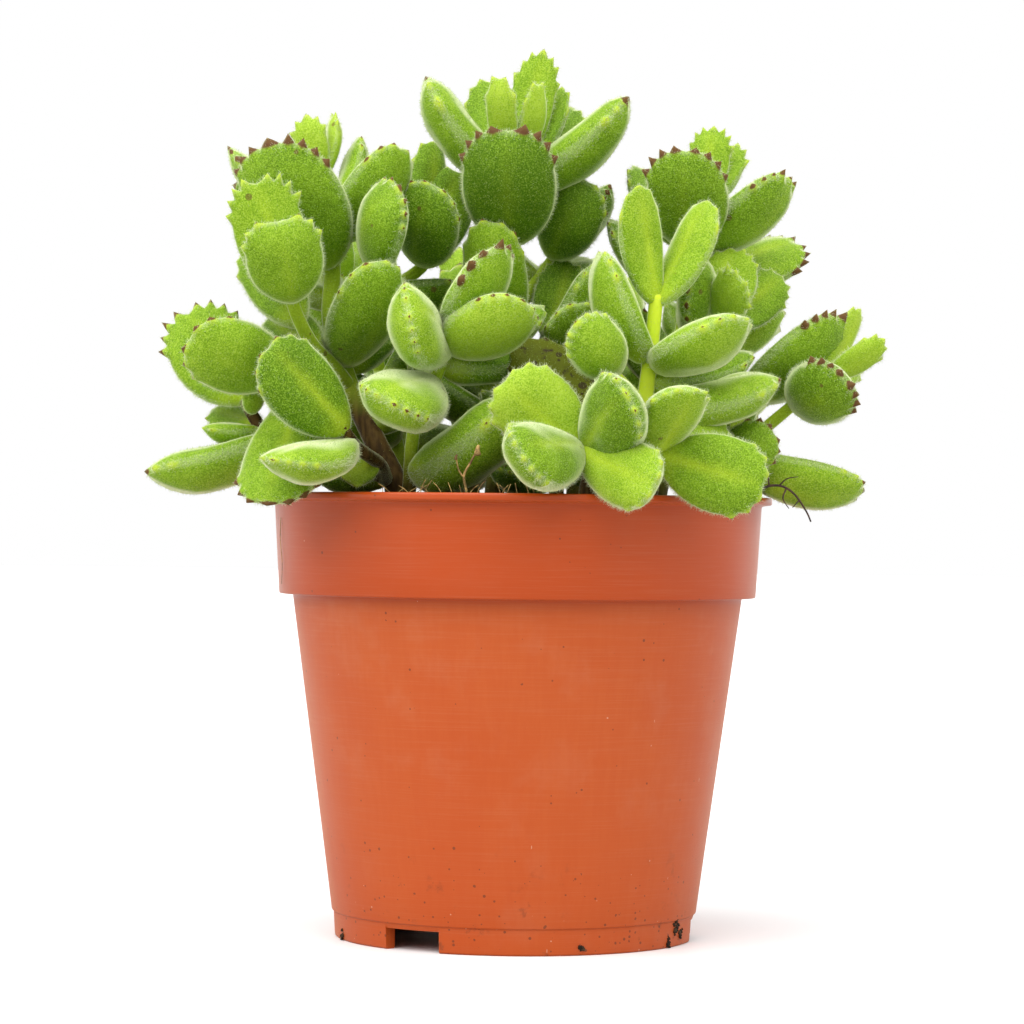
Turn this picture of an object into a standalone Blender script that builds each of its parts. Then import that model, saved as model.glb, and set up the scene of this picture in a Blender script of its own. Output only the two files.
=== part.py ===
"""A bears paw succulent growing in its plastic grower pot.

Metres, +Z up. The origin is the centre of the pot's foot on the surface that it stands on, and the
front is -Y. The pot, the soil and each rooted plant are closed solids of their own. A plant is its
stems and all its leaves, grown together as one body, and it stands in a plain hole in the soil.
Places on the plants are written in millimetres, because a leaf is only some 25 mm long.
"""

import math
import random
from dataclasses import dataclass

import bmesh
import bpy
from mathutils import Matrix, Vector
from mathutils.bvhtree import BVHTree

MM = 0.001

# Pot, a 10.5 cm grower pot with a collar.
POT_HEIGHT = 91.2 * MM
LIP_RADIUS = 52.5 * MM
LIP_HEIGHT = 1.5 * MM
COLLAR_TOP_RADIUS = 50.4 * MM
COLLAR_FOOT_RADIUS = 49.3 * MM
COLLAR_FOOT_Z = 70.5 * MM
BODY_TOP_RADIUS = 46.5 * MM
BODY_FOOT_RADIUS = 37.7 * MM
MOULD_LINE_Z = 5.5 * MM
FOOT_TOP_RADIUS = 37.3 * MM
FOOT_RADIUS = 37.0 * MM
FOOT_RING_WIDTH = 2.4 * MM
WALL = 1.1 * MM
FLOOR_UNDERSIDE_Z = 3.9 * MM
FLOOR_THICKNESS = 1.4 * MM
POT_SIDES = 40

# Three notches round the foot let water out, and so do holes in the floor.
NOTCH_COUNT = 3
NOTCH_WIDTH = 12.8 * MM
NOTCH_HEIGHT = 4.3 * MM
FIRST_NOTCH_DEG = -123.5
DRAIN_HOLES = 5
DRAIN_RADIUS = 3.5 * MM
DRAIN_CIRCLE = 24.0 * MM
FIRST_DRAIN_DEG = 30.0
DRAIN_SIDES = 10

# Soil, a little below the lip and lumpy on top.
SOIL_TOP_Z = 87.6 * MM
SOIL_MOUND = 1.2 * MM
SOIL_LUMP = 0.7 * MM
SOIL_RINGS = (0.92, 0.68, 0.36)
SOIL_SIDES = 28
SOIL_EDGE_DROP = 0.8 * MM
ROOT_HOLE_SIDES = 9
ROOT_HOLE_DEPTH = 12.0 * MM
ROOT_HOLE_RISE = 9.0 * MM
SOIL_SEED = 4

# A gap between pieces that touch on the real object.
CLEARANCE = 0.3 * MM
MERGE_DISTANCE = 0.001 * MM

# Plants.
ROOT_DEPTH = 10.0
STEM_SIDES = 6
STEM_STEP = 9.0
WIDE_LEAF = 12.0
START_DOME = 0.4
END_DOME = 0.6
WIDE_LEAF_BASE_POINTS = 5
LEAF_BASE_POINTS = 3
BLADE_CENTRE = 0.58
BASE_POWER = 1.3
TEETH_SPAN_DEG = 60.0
INNER_RING_DEG = 46.0
UPPER_SHARE = 0.85
LOWER_SHARE = 1.15
FACE_POWER = 0.85
FACE_POWER_AT_TIP = 0.2
BEND = 0.06

# Leaves of different plants keep clear of each other.
LEAF_GAP = 0.45
TURN_STEP_DEG = 3.0
SETTLE_ROUNDS = 40
SIDE_TURN_COST = 0.10
DEPTH_TURN_COST = 0.04
NEIGHBOUR_REACH = 32.0
LIP_GAP = 0.5
LIP_RING_DEPTH = 6.0
LIP_RING_SIDES = 36


@dataclass(frozen=True)
class Branch:
    """A stem: the points that its middle runs through, in mm, and its radius at each end."""

    points: tuple
    start_radius: float
    end_radius: float


@dataclass(frozen=True)
class Leaf:
    """A leaf, in mm: where it leaves its stem, its tip, its width and its thickness.

    teeth counts the points along the far edge and tooth is their height. The upper face looks
    along facing, or up the stem where that is left out. The lower blunt is, the flatter the far end.
    """

    base: tuple
    tip: tuple
    width: float
    thickness: float
    teeth: int = 6
    tooth: float = 0.6
    facing: tuple = ()
    blunt: float = 0.75


@dataclass(frozen=True)
class Plant:
    """A rooted plant. Its first branch stands in the soil."""

    branches: tuple
    leaves: tuple


CENTRE_TALL = Plant(
    branches=(
        Branch(((-5, 10, 93), (-4, 11, 105), (-3, 10, 124), (-2, 5, 140), (-2, 3, 160)), 2.2, 1.5),
        Branch(((-3, 9, 122), (1, 14, 133), (7, 16, 142), (9, 18, 147)), 1.4, 1.2),
    ),
    leaves=(
        Leaf((-3, 2, 156), (-20, 2, 177.5), 16, 9.5, teeth=5, tooth=0.8),
        Leaf((-1, 2, 155), (21.5, 0, 173.5), 16, 10, teeth=7, tooth=0.9),
        Leaf((-2, 2, 143), (-3, -15, 165), 19.5, 9.5, teeth=8, tooth=1.1, blunt=0.6),
        Leaf((-2, 3, 156), (-7, 17, 179), 13, 6),
        Leaf((-2, 3, 159), (-5, -5, 177), 6.5, 4, teeth=4, tooth=0.8),
        Leaf((-2, 3, 159), (3, -3, 176), 6.5, 4, teeth=4, tooth=0.8),
        Leaf((-2, 4, 158), (4, 9, 183.5), 9.5, 4.5, teeth=7, tooth=1.0, facing=(0, -1, 0.2)),
        Leaf((-2, 4, 157), (8, 14, 177), 8, 4.5, teeth=5),
        Leaf((-2, 4, 151), (10, 23, 174), 13, 7, teeth=7),
        Leaf((7, 16, 142), (13.5, 2, 156.5), 13.5, 8.5),
        Leaf((8, 18, 144), (18, 24, 157), 13, 7, teeth=7),
        Leaf((5, 16, 138), (17, 27, 142), 11, 6),
        Leaf((3, 16, 134), (3, 30, 142), 11, 6),
        Leaf((3, 16, 138), (-6, 27, 147), 11, 6),
        Leaf((-3, 9, 125), (-6, -8, 147), 14, 6.5),
        Leaf((-4, 11, 112), (-14, 24, 124), 14, 7),
        Leaf((-4, 11, 107), (-21, 1, 117), 13, 7),
        Leaf((-3, 10, 119), (-19, 1, 129), 13, 7),
    ),
)

CENTRE_FRONT = Plant(
    branches=(
        Branch(
            ((-22, -22, 93), (-21, -24, 105), (-17, -26, 114), (-15, -26, 120), (-14, -24, 126)),
            1.5,
            1.2,
        ),
    ),
    leaves=(
        Leaf((-14, -24, 125), (-6, -37, 139), 17.5, 8, teeth=6, tooth=1.3, facing=(-0.73, 0.3, 0.62)),
        Leaf((-15, -26, 120), (-22, -46, 127), 16, 10, teeth=8, facing=(1, 0, 0.2)),
        Leaf((-14, -25, 121), (0, -38, 129), 16.5, 9, teeth=7),
        Leaf((-17, -26, 113), (-26, -50, 109), 16.5, 10.5, teeth=8),
        Leaf((-15, -25, 117), (1, -14, 121), 14, 8),
        Leaf((-15, -25, 119), (3, -8, 130), 13, 6.5),
        Leaf((-22, -22, 94), (-1, -31, 110), 15, 13, teeth=5),
    ),
)

LEFT_TALL = Plant(
    branches=(
        Branch(
            ((-25, -14, 93), (-29, -12, 101), (-33, -10, 109), (-36, -8, 116), (-39, -6, 127),
             (-39, -4, 138), (-41, 1, 149), (-42, 4, 158)),
            2.7,
            1.4,
        ),
        Branch(((-38, -6, 125), (-33, 1, 131), (-26, 6, 135), (-20, 8, 140), (-19, 9, 147)), 1.5, 1.2),
        Branch(((-38, -6, 127), (-34, -9, 133), (-29, -11, 138)), 1.4, 1.2),
        Branch(
            ((-35, -9, 113), (-38, -14, 117), (-42, -20, 121), (-45, -26, 127), (-46, -28, 131)),
            1.6,
            1.3,
        ),
        Branch(
            ((-26, -14, 94), (-34, -17, 98), (-44, -17, 101), (-52, -16, 104), (-56, -16, 110)),
            1.8,
            1.2,
        ),
        Branch(((-33, -17, 98), (-38, -21, 107), (-43, -24, 112), (-48, -22, 116)), 1.3, 1.1),
        Branch(((-27, -15, 94), (-28, -26, 97), (-32, -35, 100), (-35, -39, 104)), 1.5, 1.2),
    ),
    leaves=(
        Leaf((-37, -8, 119), (-29, -27, 137), 16, 9.5),
        Leaf((-39, -4, 138), (-51, -19, 161), 22.5, 10, teeth=9, tooth=1.3),
        Leaf((-42, 3, 157), (-45, 3, 169), 7.5, 3.5, teeth=5, tooth=0.9),
        Leaf((-42, 4, 157), (-40, 9, 170), 7.5, 3.5, teeth=5, tooth=0.9),
        Leaf((-40, 0, 146), (-35, 12, 165), 13, 6),
        Leaf((-39, -2, 144), (-25, -9, 162), 14, 8.5),
        Leaf((-41, 1, 147), (-61, 14, 163), 13, 6.5, teeth=7),
        Leaf((-20, 8, 142), (-19, 20, 166), 9, 5.5, teeth=5),
        Leaf((-20, 8, 140), (-18, -10, 154), 14.5, 8.5),
        Leaf((-20, 8, 141), (-14, 19, 160), 13, 6.5),
        Leaf((-29, -11, 137), (-25, -23, 152), 15, 8, teeth=7, tooth=0.9),
        Leaf((-46, -28, 129), (-48, -39, 144), 15.5, 8, teeth=6, tooth=0.8, blunt=0.45),
        Leaf((-46, -28, 128), (-53, -29, 152.5), 14.5, 6, teeth=8, tooth=1.4, blunt=0.6),
        Leaf((-44, -24, 125), (-55.5, -9, 141.5), 11.5, 7),
        Leaf((-41, -18, 120), (-52, -3, 127), 11, 6.5),
        Leaf((-55, -16, 109), (-68, -9, 127.5), 17.5, 7.5, teeth=8, tooth=1.4),
        Leaf((-53, -16, 105), (-63, -5, 108), 8, 4.5, teeth=5),
        Leaf((-52, -16, 104), (-64, -15, 104), 7.5, 4.5, teeth=4),
        Leaf((-54, -16, 107), (-54, -22, 113), 5, 3.5, teeth=3),
        Leaf((-48, -17, 102), (-75, -16, 94.5), 15, 9, teeth=6),
        Leaf((-48, -22, 115), (-65, -37, 121), 15.5, 8.5),
        Leaf((-43, -24, 112), (-49, -42, 89), 18, 7.5, teeth=7, tooth=1.2, facing=(-0.3, -1, 0.3)),
        Leaf((-34, -38, 102), (-49, -45, 119), 15.5, 8.5),
        Leaf((-32, -36, 100), (-47, -55, 97), 14, 8, teeth=7),
        Leaf((-28, -26, 97), (-35, -31, 94.5), 6, 4, teeth=3),
        Leaf((-36, -8, 117), (-27, 6, 128), 12, 6.5),
        Leaf((-39, -5, 131), (-44, 16, 138), 13, 7),
        Leaf((-37, -7, 121), (-38, 15, 124), 13, 7),
        Leaf((-33, -10, 108), (-46, 2, 116), 12, 6.5),
        Leaf((-31, -11, 105), (-19, -4, 115), 12, 6.5),
        Leaf((-30, 3, 133), (-14, 11, 134), 12, 6.5),
        Leaf((-26, -14, 95), (-43, -5, 97), 9, 6.5),
    ),
)

MIDDLE = Plant(
    branches=(Branch(((8, 12, 93), (7, 10, 107), (6, 8, 120), (7, 6, 127)), 1.7, 1.2),),
    leaves=(
        Leaf((6, 8, 123), (16, -2, 139), 13.5, 7.5),
        Leaf((7, 9, 116), (12, -15, 130), 13.5, 7.5),
        Leaf((7, 10, 113), (-5, -3, 124), 13, 7),
        Leaf((7, 10, 108), (20, 6, 121), 13, 7),
        Leaf((7, 8, 124), (7, 17, 139), 11, 6, teeth=7),
        Leaf((7, 11, 104), (-8, 0, 112), 12, 6),
        Leaf((7, 11, 104), (20, 0, 108), 12, 6),
        Leaf((8, 12, 95), (-7, 3, 97), 10, 6.5),
        Leaf((8, 12, 97), (24, 7, 98), 10, 6.5),
    ),
)

RIGHT_FRONT = Plant(
    branches=(
        Branch(
            ((14, -28, 93), (16, -30, 97), (20, -32, 100), (24, -31, 105), (25, -30, 111),
             (26, -30, 120), (27, -30, 131)),
            2.1,
            1.4,
        ),
        Branch(((16, -30, 97), (14, -38, 98.5), (12, -45, 99.5)), 1.5, 1.2),
        Branch(((20, -32, 100), (24, -39, 99.5), (27, -46, 99)), 1.5, 1.2),
        Branch(((25, -30, 109), (21, -32, 113), (18, -35, 116)), 1.2, 1.0),
    ),
    leaves=(
        Leaf((27, -30, 129), (23, -34, 152), 10.5, 5, teeth=5, tooth=0.4, facing=(0.6, -0.8, 0.2)),
        Leaf((27, -30, 129), (37, -26, 150), 12, 5, teeth=5, tooth=0.4, facing=(-0.7, -0.6, 0.3)),
        Leaf((26, -30, 118), (16, -33, 139), 15, 8.5),
        Leaf((26, -30, 118), (43, -42, 126), 16, 9),
        Leaf((25, -30, 109), (51, -23, 115), 16, 9.5, tooth=0.8),
        Leaf((26, -30, 114), (46, -14, 120.5), 11, 7),
        Leaf((12, -44, 99.5), (-3, -47, 113), 16, 8.5),
        Leaf((13, -42, 99.5), (20, -64, 110), 15.5, 9.5, teeth=7),
        Leaf((12, -45, 99.5), (0, -67, 99), 14.5, 10, teeth=8),
        Leaf((13, -45, 100), (29, -62, 91), 13.5, 7.5),
        Leaf((18, -35, 116), (11, -50, 124), 11.5, 9, teeth=7),
        Leaf((22, -31, 104), (0, -21, 121), 16, 6.5, facing=(0.2, -0.9, 0.5)),
        Leaf((27, -45, 99), (32, -60, 111), 12.5, 7),
        Leaf((27, -46, 99), (47, -53, 93), 15.5, 8),
        Leaf((24, -40, 99.5), (42, -27, 103), 9, 5.5, teeth=5),
    ),
)

RIGHT_TALL = Plant(
    branches=(
        Branch(
            ((27, -4, 93), (31, -4, 107), (33, -2, 122), (35, 0, 134), (36, 2, 145), (37, 2, 154)),
            2.1,
            1.4,
        ),
        Branch(((33, -2, 121), (38, -7, 124), (42, -10, 128)), 1.4, 1.2),
    ),
    leaves=(
        Leaf((36, 1, 143), (33, -17, 161), 17, 8.5, teeth=8, tooth=1.3),
        Leaf((37, 3, 152), (40, 7, 168), 9, 4.5, teeth=7, tooth=0.9),
        Leaf((37, 3, 152), (45, 12, 165), 8, 4.5, teeth=5, tooth=0.9),
        Leaf((36, 2, 143), (25, 18, 161), 12, 6.5),
        Leaf((36, 2, 143), (54, -7, 157), 14.5, 9, teeth=8, tooth=1.1),
        Leaf((35, 1, 136), (58, 14, 145), 15, 7.5, teeth=8, tooth=1.3, facing=(-0.3, -0.7, 0.6)),
        Leaf((34, -1, 129), (34, -22, 135), 15, 8, facing=(-1, 0, 0.2)),
        Leaf((42, -9, 127), (43, -5, 142), 12.5, 5, teeth=7, facing=(-0.4, -1, 0.2)),
        Leaf((42, -10, 127), (44, -24, 135), 10, 5, teeth=6, tooth=0.9),
        Leaf((41, -9, 126), (54, 2, 137), 11, 5.5, teeth=7),
        Leaf((35, 1, 133), (20, 14, 149), 13, 7),
        Leaf((32, -3, 113), (20, 4, 131), 13, 7),
    ),
)

RIGHT_FAR = Plant(
    branches=(
        Branch(((38, -2, 93), (44, -4, 100), (50, -4, 105), (57, -5, 111), (64, -6, 117)), 1.6, 1.1),
        Branch(((42, -3, 97), (45, 0, 106), (47, 2, 114)), 1.4, 1.2),
    ),
    leaves=(
        Leaf((46, 2, 112), (66, -5, 128), 18, 8.5, teeth=9, tooth=1.3),
        Leaf((58, -5, 112), (65, -26, 115), 14, 9, teeth=8, tooth=1.1),
        Leaf((64, -6, 116), (70, -2, 130), 7, 4, teeth=5),
        Leaf((64, -6, 116), (74, -11, 123.5), 6, 4, teeth=5),
        Leaf((64, -6, 116), (70, 5, 120), 8, 4.5, teeth=5),
    ),
)

RIGHT_LOW = Plant(
    branches=(Branch(((35, -17, 93), (38, -17, 96), (42, -15, 98.5), (46, -13, 99.5)), 1.6, 1.2),),
    leaves=(
        Leaf((39, -16, 97), (51, -24, 104), 10.5, 6),
        Leaf((44, -14, 98), (70, -11, 92.8), 12.5, 7, teeth=7),
    ),
)


@dataclass(frozen=True)
class RearShoot:
    """A shoot that the front hides: leaves in crossed pairs up a leaning stem, in mm and degrees."""

    root: tuple
    top: tuple
    first_turn_deg: float
    pairs: int


REAR_SHOOTS = {
    "plant_rear_left": RearShoot((-24, 15, 93), (-38, 34, 138), 20, 5),
    "plant_rear_middle_left": RearShoot((-10, 29, 93), (-14, 53, 132), 50, 5),
    "plant_rear_middle_right": RearShoot((12, 28, 93), (16, 54, 130), 35, 5),
    "plant_rear_right": RearShoot((30, 14, 93), (46, 35, 134), 80, 5),
}
REAR_FIRST_PAIR = 0.16
REAR_LAST_PAIR = 0.97
REAR_BOW = 6.0
REAR_LOW_LEAF = 25.0
REAR_TOP_LEAF = 15.0
REAR_LOW_SPREAD_DEG = 68.0
REAR_TOP_SPREAD_DEG = 24.0
REAR_WIDTH_SHARE = 0.62
REAR_THICKNESS_SHARE = 0.34
REAR_TURN_VARIES_DEG = 14.0
REAR_LEAN_VARIES_DEG = 8.0
REAR_SIZE_VARIES = 0.08
REAR_TEETH = 5
REAR_TOOTH = 0.9
REAR_STEM_RADII = (1.8, 1.2)
REAR_SEED = 11


def rear_plant(shoot, chance):
    """Grows the pairs of leaves up a rear shoot, each pair across the one below it."""
    root, top = Vector(shoot.root), Vector(shoot.top)
    middle = (root + top) / 2 + Vector((0, 0, REAR_BOW))
    stem = (top - root).normalized()
    across = stem.orthogonal().normalized()
    leaves = []
    for pair in range(shoot.pairs):
        share = pair / (shoot.pairs - 1)
        rise = REAR_FIRST_PAIR + (REAR_LAST_PAIR - REAR_FIRST_PAIR) * share
        base = root.lerp(middle, 2 * rise) if rise <= 0.5 else middle.lerp(top, 2 * rise - 1)
        length = REAR_LOW_LEAF + (REAR_TOP_LEAF - REAR_LOW_LEAF) * share
        spread = REAR_LOW_SPREAD_DEG + (REAR_TOP_SPREAD_DEG - REAR_LOW_SPREAD_DEG) * share
        for side in (0, 180):
            varied = chance.uniform(-REAR_TURN_VARIES_DEG, REAR_TURN_VARIES_DEG)
            turn = shoot.first_turn_deg + 90 * pair + side + varied
            out = Matrix.Rotation(math.radians(turn), 3, stem) @ across
            lean = math.radians(spread + chance.uniform(-REAR_LEAN_VARIES_DEG, REAR_LEAN_VARIES_DEG))
            size = length * chance.uniform(1 - REAR_SIZE_VARIES, 1 + REAR_SIZE_VARIES)
            tip = base + (stem * math.cos(lean) + out * math.sin(lean)) * size
            width, thickness = size * REAR_WIDTH_SHARE, size * REAR_THICKNESS_SHARE
            leaves.append(Leaf(tuple(base), tuple(tip), width, thickness, REAR_TEETH, REAR_TOOTH))
    return Plant((Branch((tuple(root), tuple(middle), tuple(top)), *REAR_STEM_RADII),), tuple(leaves))


def all_plants():
    """Every plant by its node's name."""
    chance = random.Random(REAR_SEED)
    plants = {
        "plant_centre_tall": CENTRE_TALL,
        "plant_centre_front": CENTRE_FRONT,
        "plant_left_tall": LEFT_TALL,
        "plant_middle": MIDDLE,
        "plant_right_front": RIGHT_FRONT,
        "plant_right_tall": RIGHT_TALL,
        "plant_right_far": RIGHT_FAR,
        "plant_right_low": RIGHT_LOW,
    }
    for name, shoot in REAR_SHOOTS.items():
        plants[name] = rear_plant(shoot, chance)
    return plants


def smooth_path(points, step):
    """Points about a step apart along a smooth curve through the given ones, and its directions."""
    given = [Vector(point) for point in points]
    ends = [2 * given[0] - given[1]] + given + [2 * given[-1] - given[-2]]
    path = []
    for index in range(1, len(ends) - 2):
        before, start, end, after = ends[index - 1 : index + 3]
        count = max(1, round((end - start).length / step))
        for part in range(count):
            t = part / count
            path.append(
                0.5
                * (
                    2 * start
                    + (end - before) * t
                    + (2 * before - 5 * start + 4 * end - after) * t**2
                    + (3 * start - before - 3 * end + after) * t**3
                )
            )
    path.append(given[-1])
    ways = [(after - before).normalized() for before, after in zip(path[:1] + path, path[1:] + path[-1:])]
    return path, ways


def tube(points, start_radius, end_radius):
    """Points and faces of a round stem that tapers along a smooth path and has domed ends."""
    path, ways = smooth_path(points, STEM_STEP)
    side = Vector((1, 0, 0)) - ways[0] * ways[0].x
    if side.length < 0.1:
        side = Vector((0, 1, 0))
    rings, faces = [], []
    for index, (middle, way) in enumerate(zip(path, ways)):
        side = (side - way * side.dot(way)).normalized()
        over = way.cross(side)
        radius = start_radius + (end_radius - start_radius) * index / (len(path) - 1)
        for corner in range(STEM_SIDES):
            angle = math.tau * corner / STEM_SIDES
            rings.append(middle + radius * (math.cos(angle) * side + math.sin(angle) * over))
    for index in range(len(path) - 1):
        for corner in range(STEM_SIDES):
            low, high = index * STEM_SIDES, (index + 1) * STEM_SIDES
            following = (corner + 1) % STEM_SIDES
            faces.append((low + corner, low + following, high + following, high + corner))
    first, last = len(rings), len(rings) + 1
    rings += [path[0] - ways[0] * start_radius * START_DOME, path[-1] + ways[-1] * end_radius * END_DOME]
    top = (len(path) - 1) * STEM_SIDES
    for corner in range(STEM_SIDES):
        following = (corner + 1) % STEM_SIDES
        faces.append((first, following, corner))
        faces.append((last, top + corner, top + following))
    return rings, faces


def rooted(branch):
    """The first branch's points with its root, which goes straight down into the soil."""
    x, y, z = branch.points[0]
    return ((x, y, SOIL_TOP_Z / MM - ROOT_DEPTH), (x, y, SOIL_TOP_Z / MM - 1)) + branch.points


def plant_tubes(plant):
    """The tubes of a plant's branches."""
    tubes = []
    for order, branch in enumerate(plant.branches):
        points = rooted(branch) if order == 0 else branch.points
        tubes.append(tube(points, branch.start_radius, branch.end_radius))
    return tubes


def edge_point(leaf, length, angle, tooth):
    """A point of the blade's edge, along and across it, at an angle round the blade from its tip."""
    forward = math.cos(angle) >= 0
    reach = 1 - BLADE_CENTRE if forward else BLADE_CENTRE
    power = leaf.blunt if forward else BASE_POWER
    along = length * reach * math.cos(angle)
    across = leaf.width / 2 * math.copysign(abs(math.sin(angle)) ** power, math.sin(angle))
    grow = 1 + tooth / math.hypot(along, across)
    return along * grow, across * grow


def edge_angles(leaf):
    """Angles of the edge's points with the tooth's height at each: teeth, notches, then the rest."""
    span = math.radians(TEETH_SPAN_DEG)
    pitch = 2 * span / (leaf.teeth - 1)
    first = -span - pitch / 2
    angles = [(first + step * pitch / 2, leaf.tooth * (step % 2)) for step in range(2 * leaf.teeth + 1)]
    last = angles[-1][0]
    count = WIDE_LEAF_BASE_POINTS if leaf.width > WIDE_LEAF else LEAF_BASE_POINTS
    rest = (math.tau + first - last) / (count + 1)
    return angles + [(last + rest * (step + 1), 0.0) for step in range(count)]


def stem_way(plant, base):
    """The place on the plant's stems nearest to a leaf's base, and the stem's direction there."""
    nearest = None
    for branch in plant.branches:
        path, ways = smooth_path(branch.points, 1.0)
        for middle, way in zip(path, ways):
            gap = (middle - Vector(base)).length
            if nearest is None or gap < nearest[0]:
                nearest = (gap, middle, way)
    return nearest[1], nearest[2]


class PlacedLeaf:
    """A leaf on its stem, with the turns that keep it clear of other plants."""

    def __init__(self, plant_name, leaf, middle, way):
        """Holds the leaf, with the stem's middle and direction where it grows."""
        self.plant_name = plant_name
        self.leaf = leaf
        self.base = middle
        self.way = way
        self.depth_turn = 0.0
        self.side_turn = 0.0

    def axes(self, depth_turn, side_turn):
        """The leaf's length, its direction, its upper face's direction and the one across it."""
        reach = Vector(self.leaf.tip) - self.base
        along = reach.normalized()
        side_axis = Vector((0, 1, 0)) - along * along.y
        side_axis = side_axis.normalized() if side_axis.length > 0.1 else Vector((0, 0, 1))
        depth_axis = along.cross(side_axis)
        turn = Matrix.Rotation(math.radians(side_turn), 3, side_axis)
        turn = turn @ Matrix.Rotation(math.radians(depth_turn), 3, depth_axis)
        up = Vector(self.leaf.facing or self.way)
        up = (up - along * up.dot(along)).normalized()
        along, up = turn @ along, turn @ up
        return reach.length, along, up, up.cross(along)

    def mesh(self, depth_turn=None, side_turn=None, swell=0.0):
        """Points and triangles of the blade: its edge, a ring and a middle point on each face."""
        depth_turn = self.depth_turn if depth_turn is None else depth_turn
        side_turn = self.side_turn if side_turn is None else side_turn
        length, along, up, across = self.axes(depth_turn, side_turn)
        leaf = self.leaf
        edge = edge_angles(leaf)
        inner = math.radians(INNER_RING_DEG)

        def place(x, y, height):
            """A point of the blade in space, with the blade's bend."""
            share = (x + BLADE_CENTRE * length) / length
            height -= 4 * BEND * length * share * (1 - share)
            return self.base + along * (x + BLADE_CENTRE * length) + across * y + up * height

        points = []
        for angle, tooth in edge:
            x, y = edge_point(leaf, length, angle, tooth + swell)
            points.append(place(x, y, 0))
        half = leaf.thickness / 2 + swell
        for share in (UPPER_SHARE, -LOWER_SHARE):
            for angle, _ in edge[::2]:
                x, y = edge_point(leaf, length, angle, swell)
                rise = math.sin(inner) ** (FACE_POWER + FACE_POWER_AT_TIP * math.cos(angle))
                points.append(place(x * math.cos(inner), y * math.cos(inner), half * share * rise))
            points.append(place(0, 0, half * share))
        return points, leaf_faces(len(edge))


def leaf_faces(count):
    """Triangles of a blade whose edge has an even count of points, with half as many in each ring."""
    ring = count // 2
    faces = []
    for start, upper in ((count, True), (count + ring + 1, False)):
        side = []
        for index in range(ring):
            outer, middle, following = 2 * index, 2 * index + 1, (2 * index + 2) % count
            here, there = start + index, start + (index + 1) % ring
            side += [(outer, middle, here), (middle, following, there), (middle, there, here)]
            side.append((here, there, start + ring))
        faces += side if upper else [face[::-1] for face in side]
    return faces


def place_leaves(plants):
    """Every leaf on its stem."""
    placed = []
    for name, plant in plants.items():
        for leaf in plant.leaves:
            middle, way = stem_way(plant, leaf.base)
            placed.append(PlacedLeaf(name, leaf, middle, way))
    return placed


def tree_of(points, faces):
    """A search tree of a shape's faces, to test it against others."""
    return BVHTree.FromPolygons([tuple(point) for point in points], faces)


def settle(plants, placed):
    """Turns leaves about their bases until those of different plants clear each other.

    A leaf swings toward the front or back more readily than sideways, and no further than it must.
    """
    stems = [(name, tree_of(*shape)) for name, plant in plants.items() for shape in plant_tubes(plant)]
    lip = tree_of(*lip_ring())
    trees = [tree_of(*item.mesh(swell=LEAF_GAP / 2)) for item in placed]
    middles = [(Vector(item.base) + Vector(item.leaf.tip)) / 2 for item in placed]

    def crossings(index, tree):
        """How many pairs of faces cross between a leaf and what it has to clear."""
        item = placed[index]
        total = len(tree.overlap(lip))
        total += sum(len(tree.overlap(stem)) for name, stem in stems if name != item.plant_name)
        for other, neighbour in enumerate(placed):
            apart = (middles[other] - middles[index]).length
            if neighbour.plant_name == item.plant_name or apart > NEIGHBOUR_REACH:
                continue
            total += len(tree.overlap(trees[other]))
        return total

    for _ in range(SETTLE_ROUNDS):
        moved = False
        for index, item in enumerate(placed):
            if crossings(index, trees[index]) == 0:
                continue
            choices = []
            for depth_step in (-2, -1, 0, 1, 2):
                for side_step in (-1, 0, 1):
                    depth = item.depth_turn + depth_step * TURN_STEP_DEG
                    side = item.side_turn + side_step * TURN_STEP_DEG
                    tree = tree_of(*item.mesh(depth, side, LEAF_GAP / 2))
                    cost = crossings(index, tree)
                    cost += DEPTH_TURN_COST * abs(depth) + SIDE_TURN_COST * abs(side)
                    choices.append((cost, depth, side, tree))
            best = min(choices, key=lambda choice: choice[:3])
            moved |= (best[1], best[2]) != (item.depth_turn, item.side_turn)
            item.depth_turn, item.side_turn, trees[index] = best[1:]
        if not moved:
            break


def new_object(name, points, faces, scale=MM):
    """An object with these points and faces."""
    mesh = bpy.data.meshes.new(name)
    mesh.from_pydata([tuple(Vector(point) * scale) for point in points], [], faces)
    mesh.update()
    obj = bpy.data.objects.new(name, mesh)
    bpy.context.scene.collection.objects.link(obj)
    return obj


def material(name, color, roughness):
    """A plain surface of one colour."""
    made = bpy.data.materials.new(name)
    made.use_nodes = True
    shader = made.node_tree.nodes["Principled BSDF"]
    shader.inputs["Base Color"].default_value = (*color, 1)
    shader.inputs["Roughness"].default_value = roughness
    made.diffuse_color = (*color, 1)
    return made


def turned(profile, sides):
    """Points and faces of a closed profile of (radius, height) turned about the upright axis."""
    points, faces = [], []
    for side in range(sides):
        angle = math.tau * side / sides
        points += [(r * math.cos(angle), r * math.sin(angle), z) for r, z in profile]
    count = len(profile)
    for side in range(sides):
        here, there = side * count, (side + 1) % sides * count
        for index in range(count):
            following = (index + 1) % count
            faces.append((here + index, here + following, there + following, there + index))
    return points, faces


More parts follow.
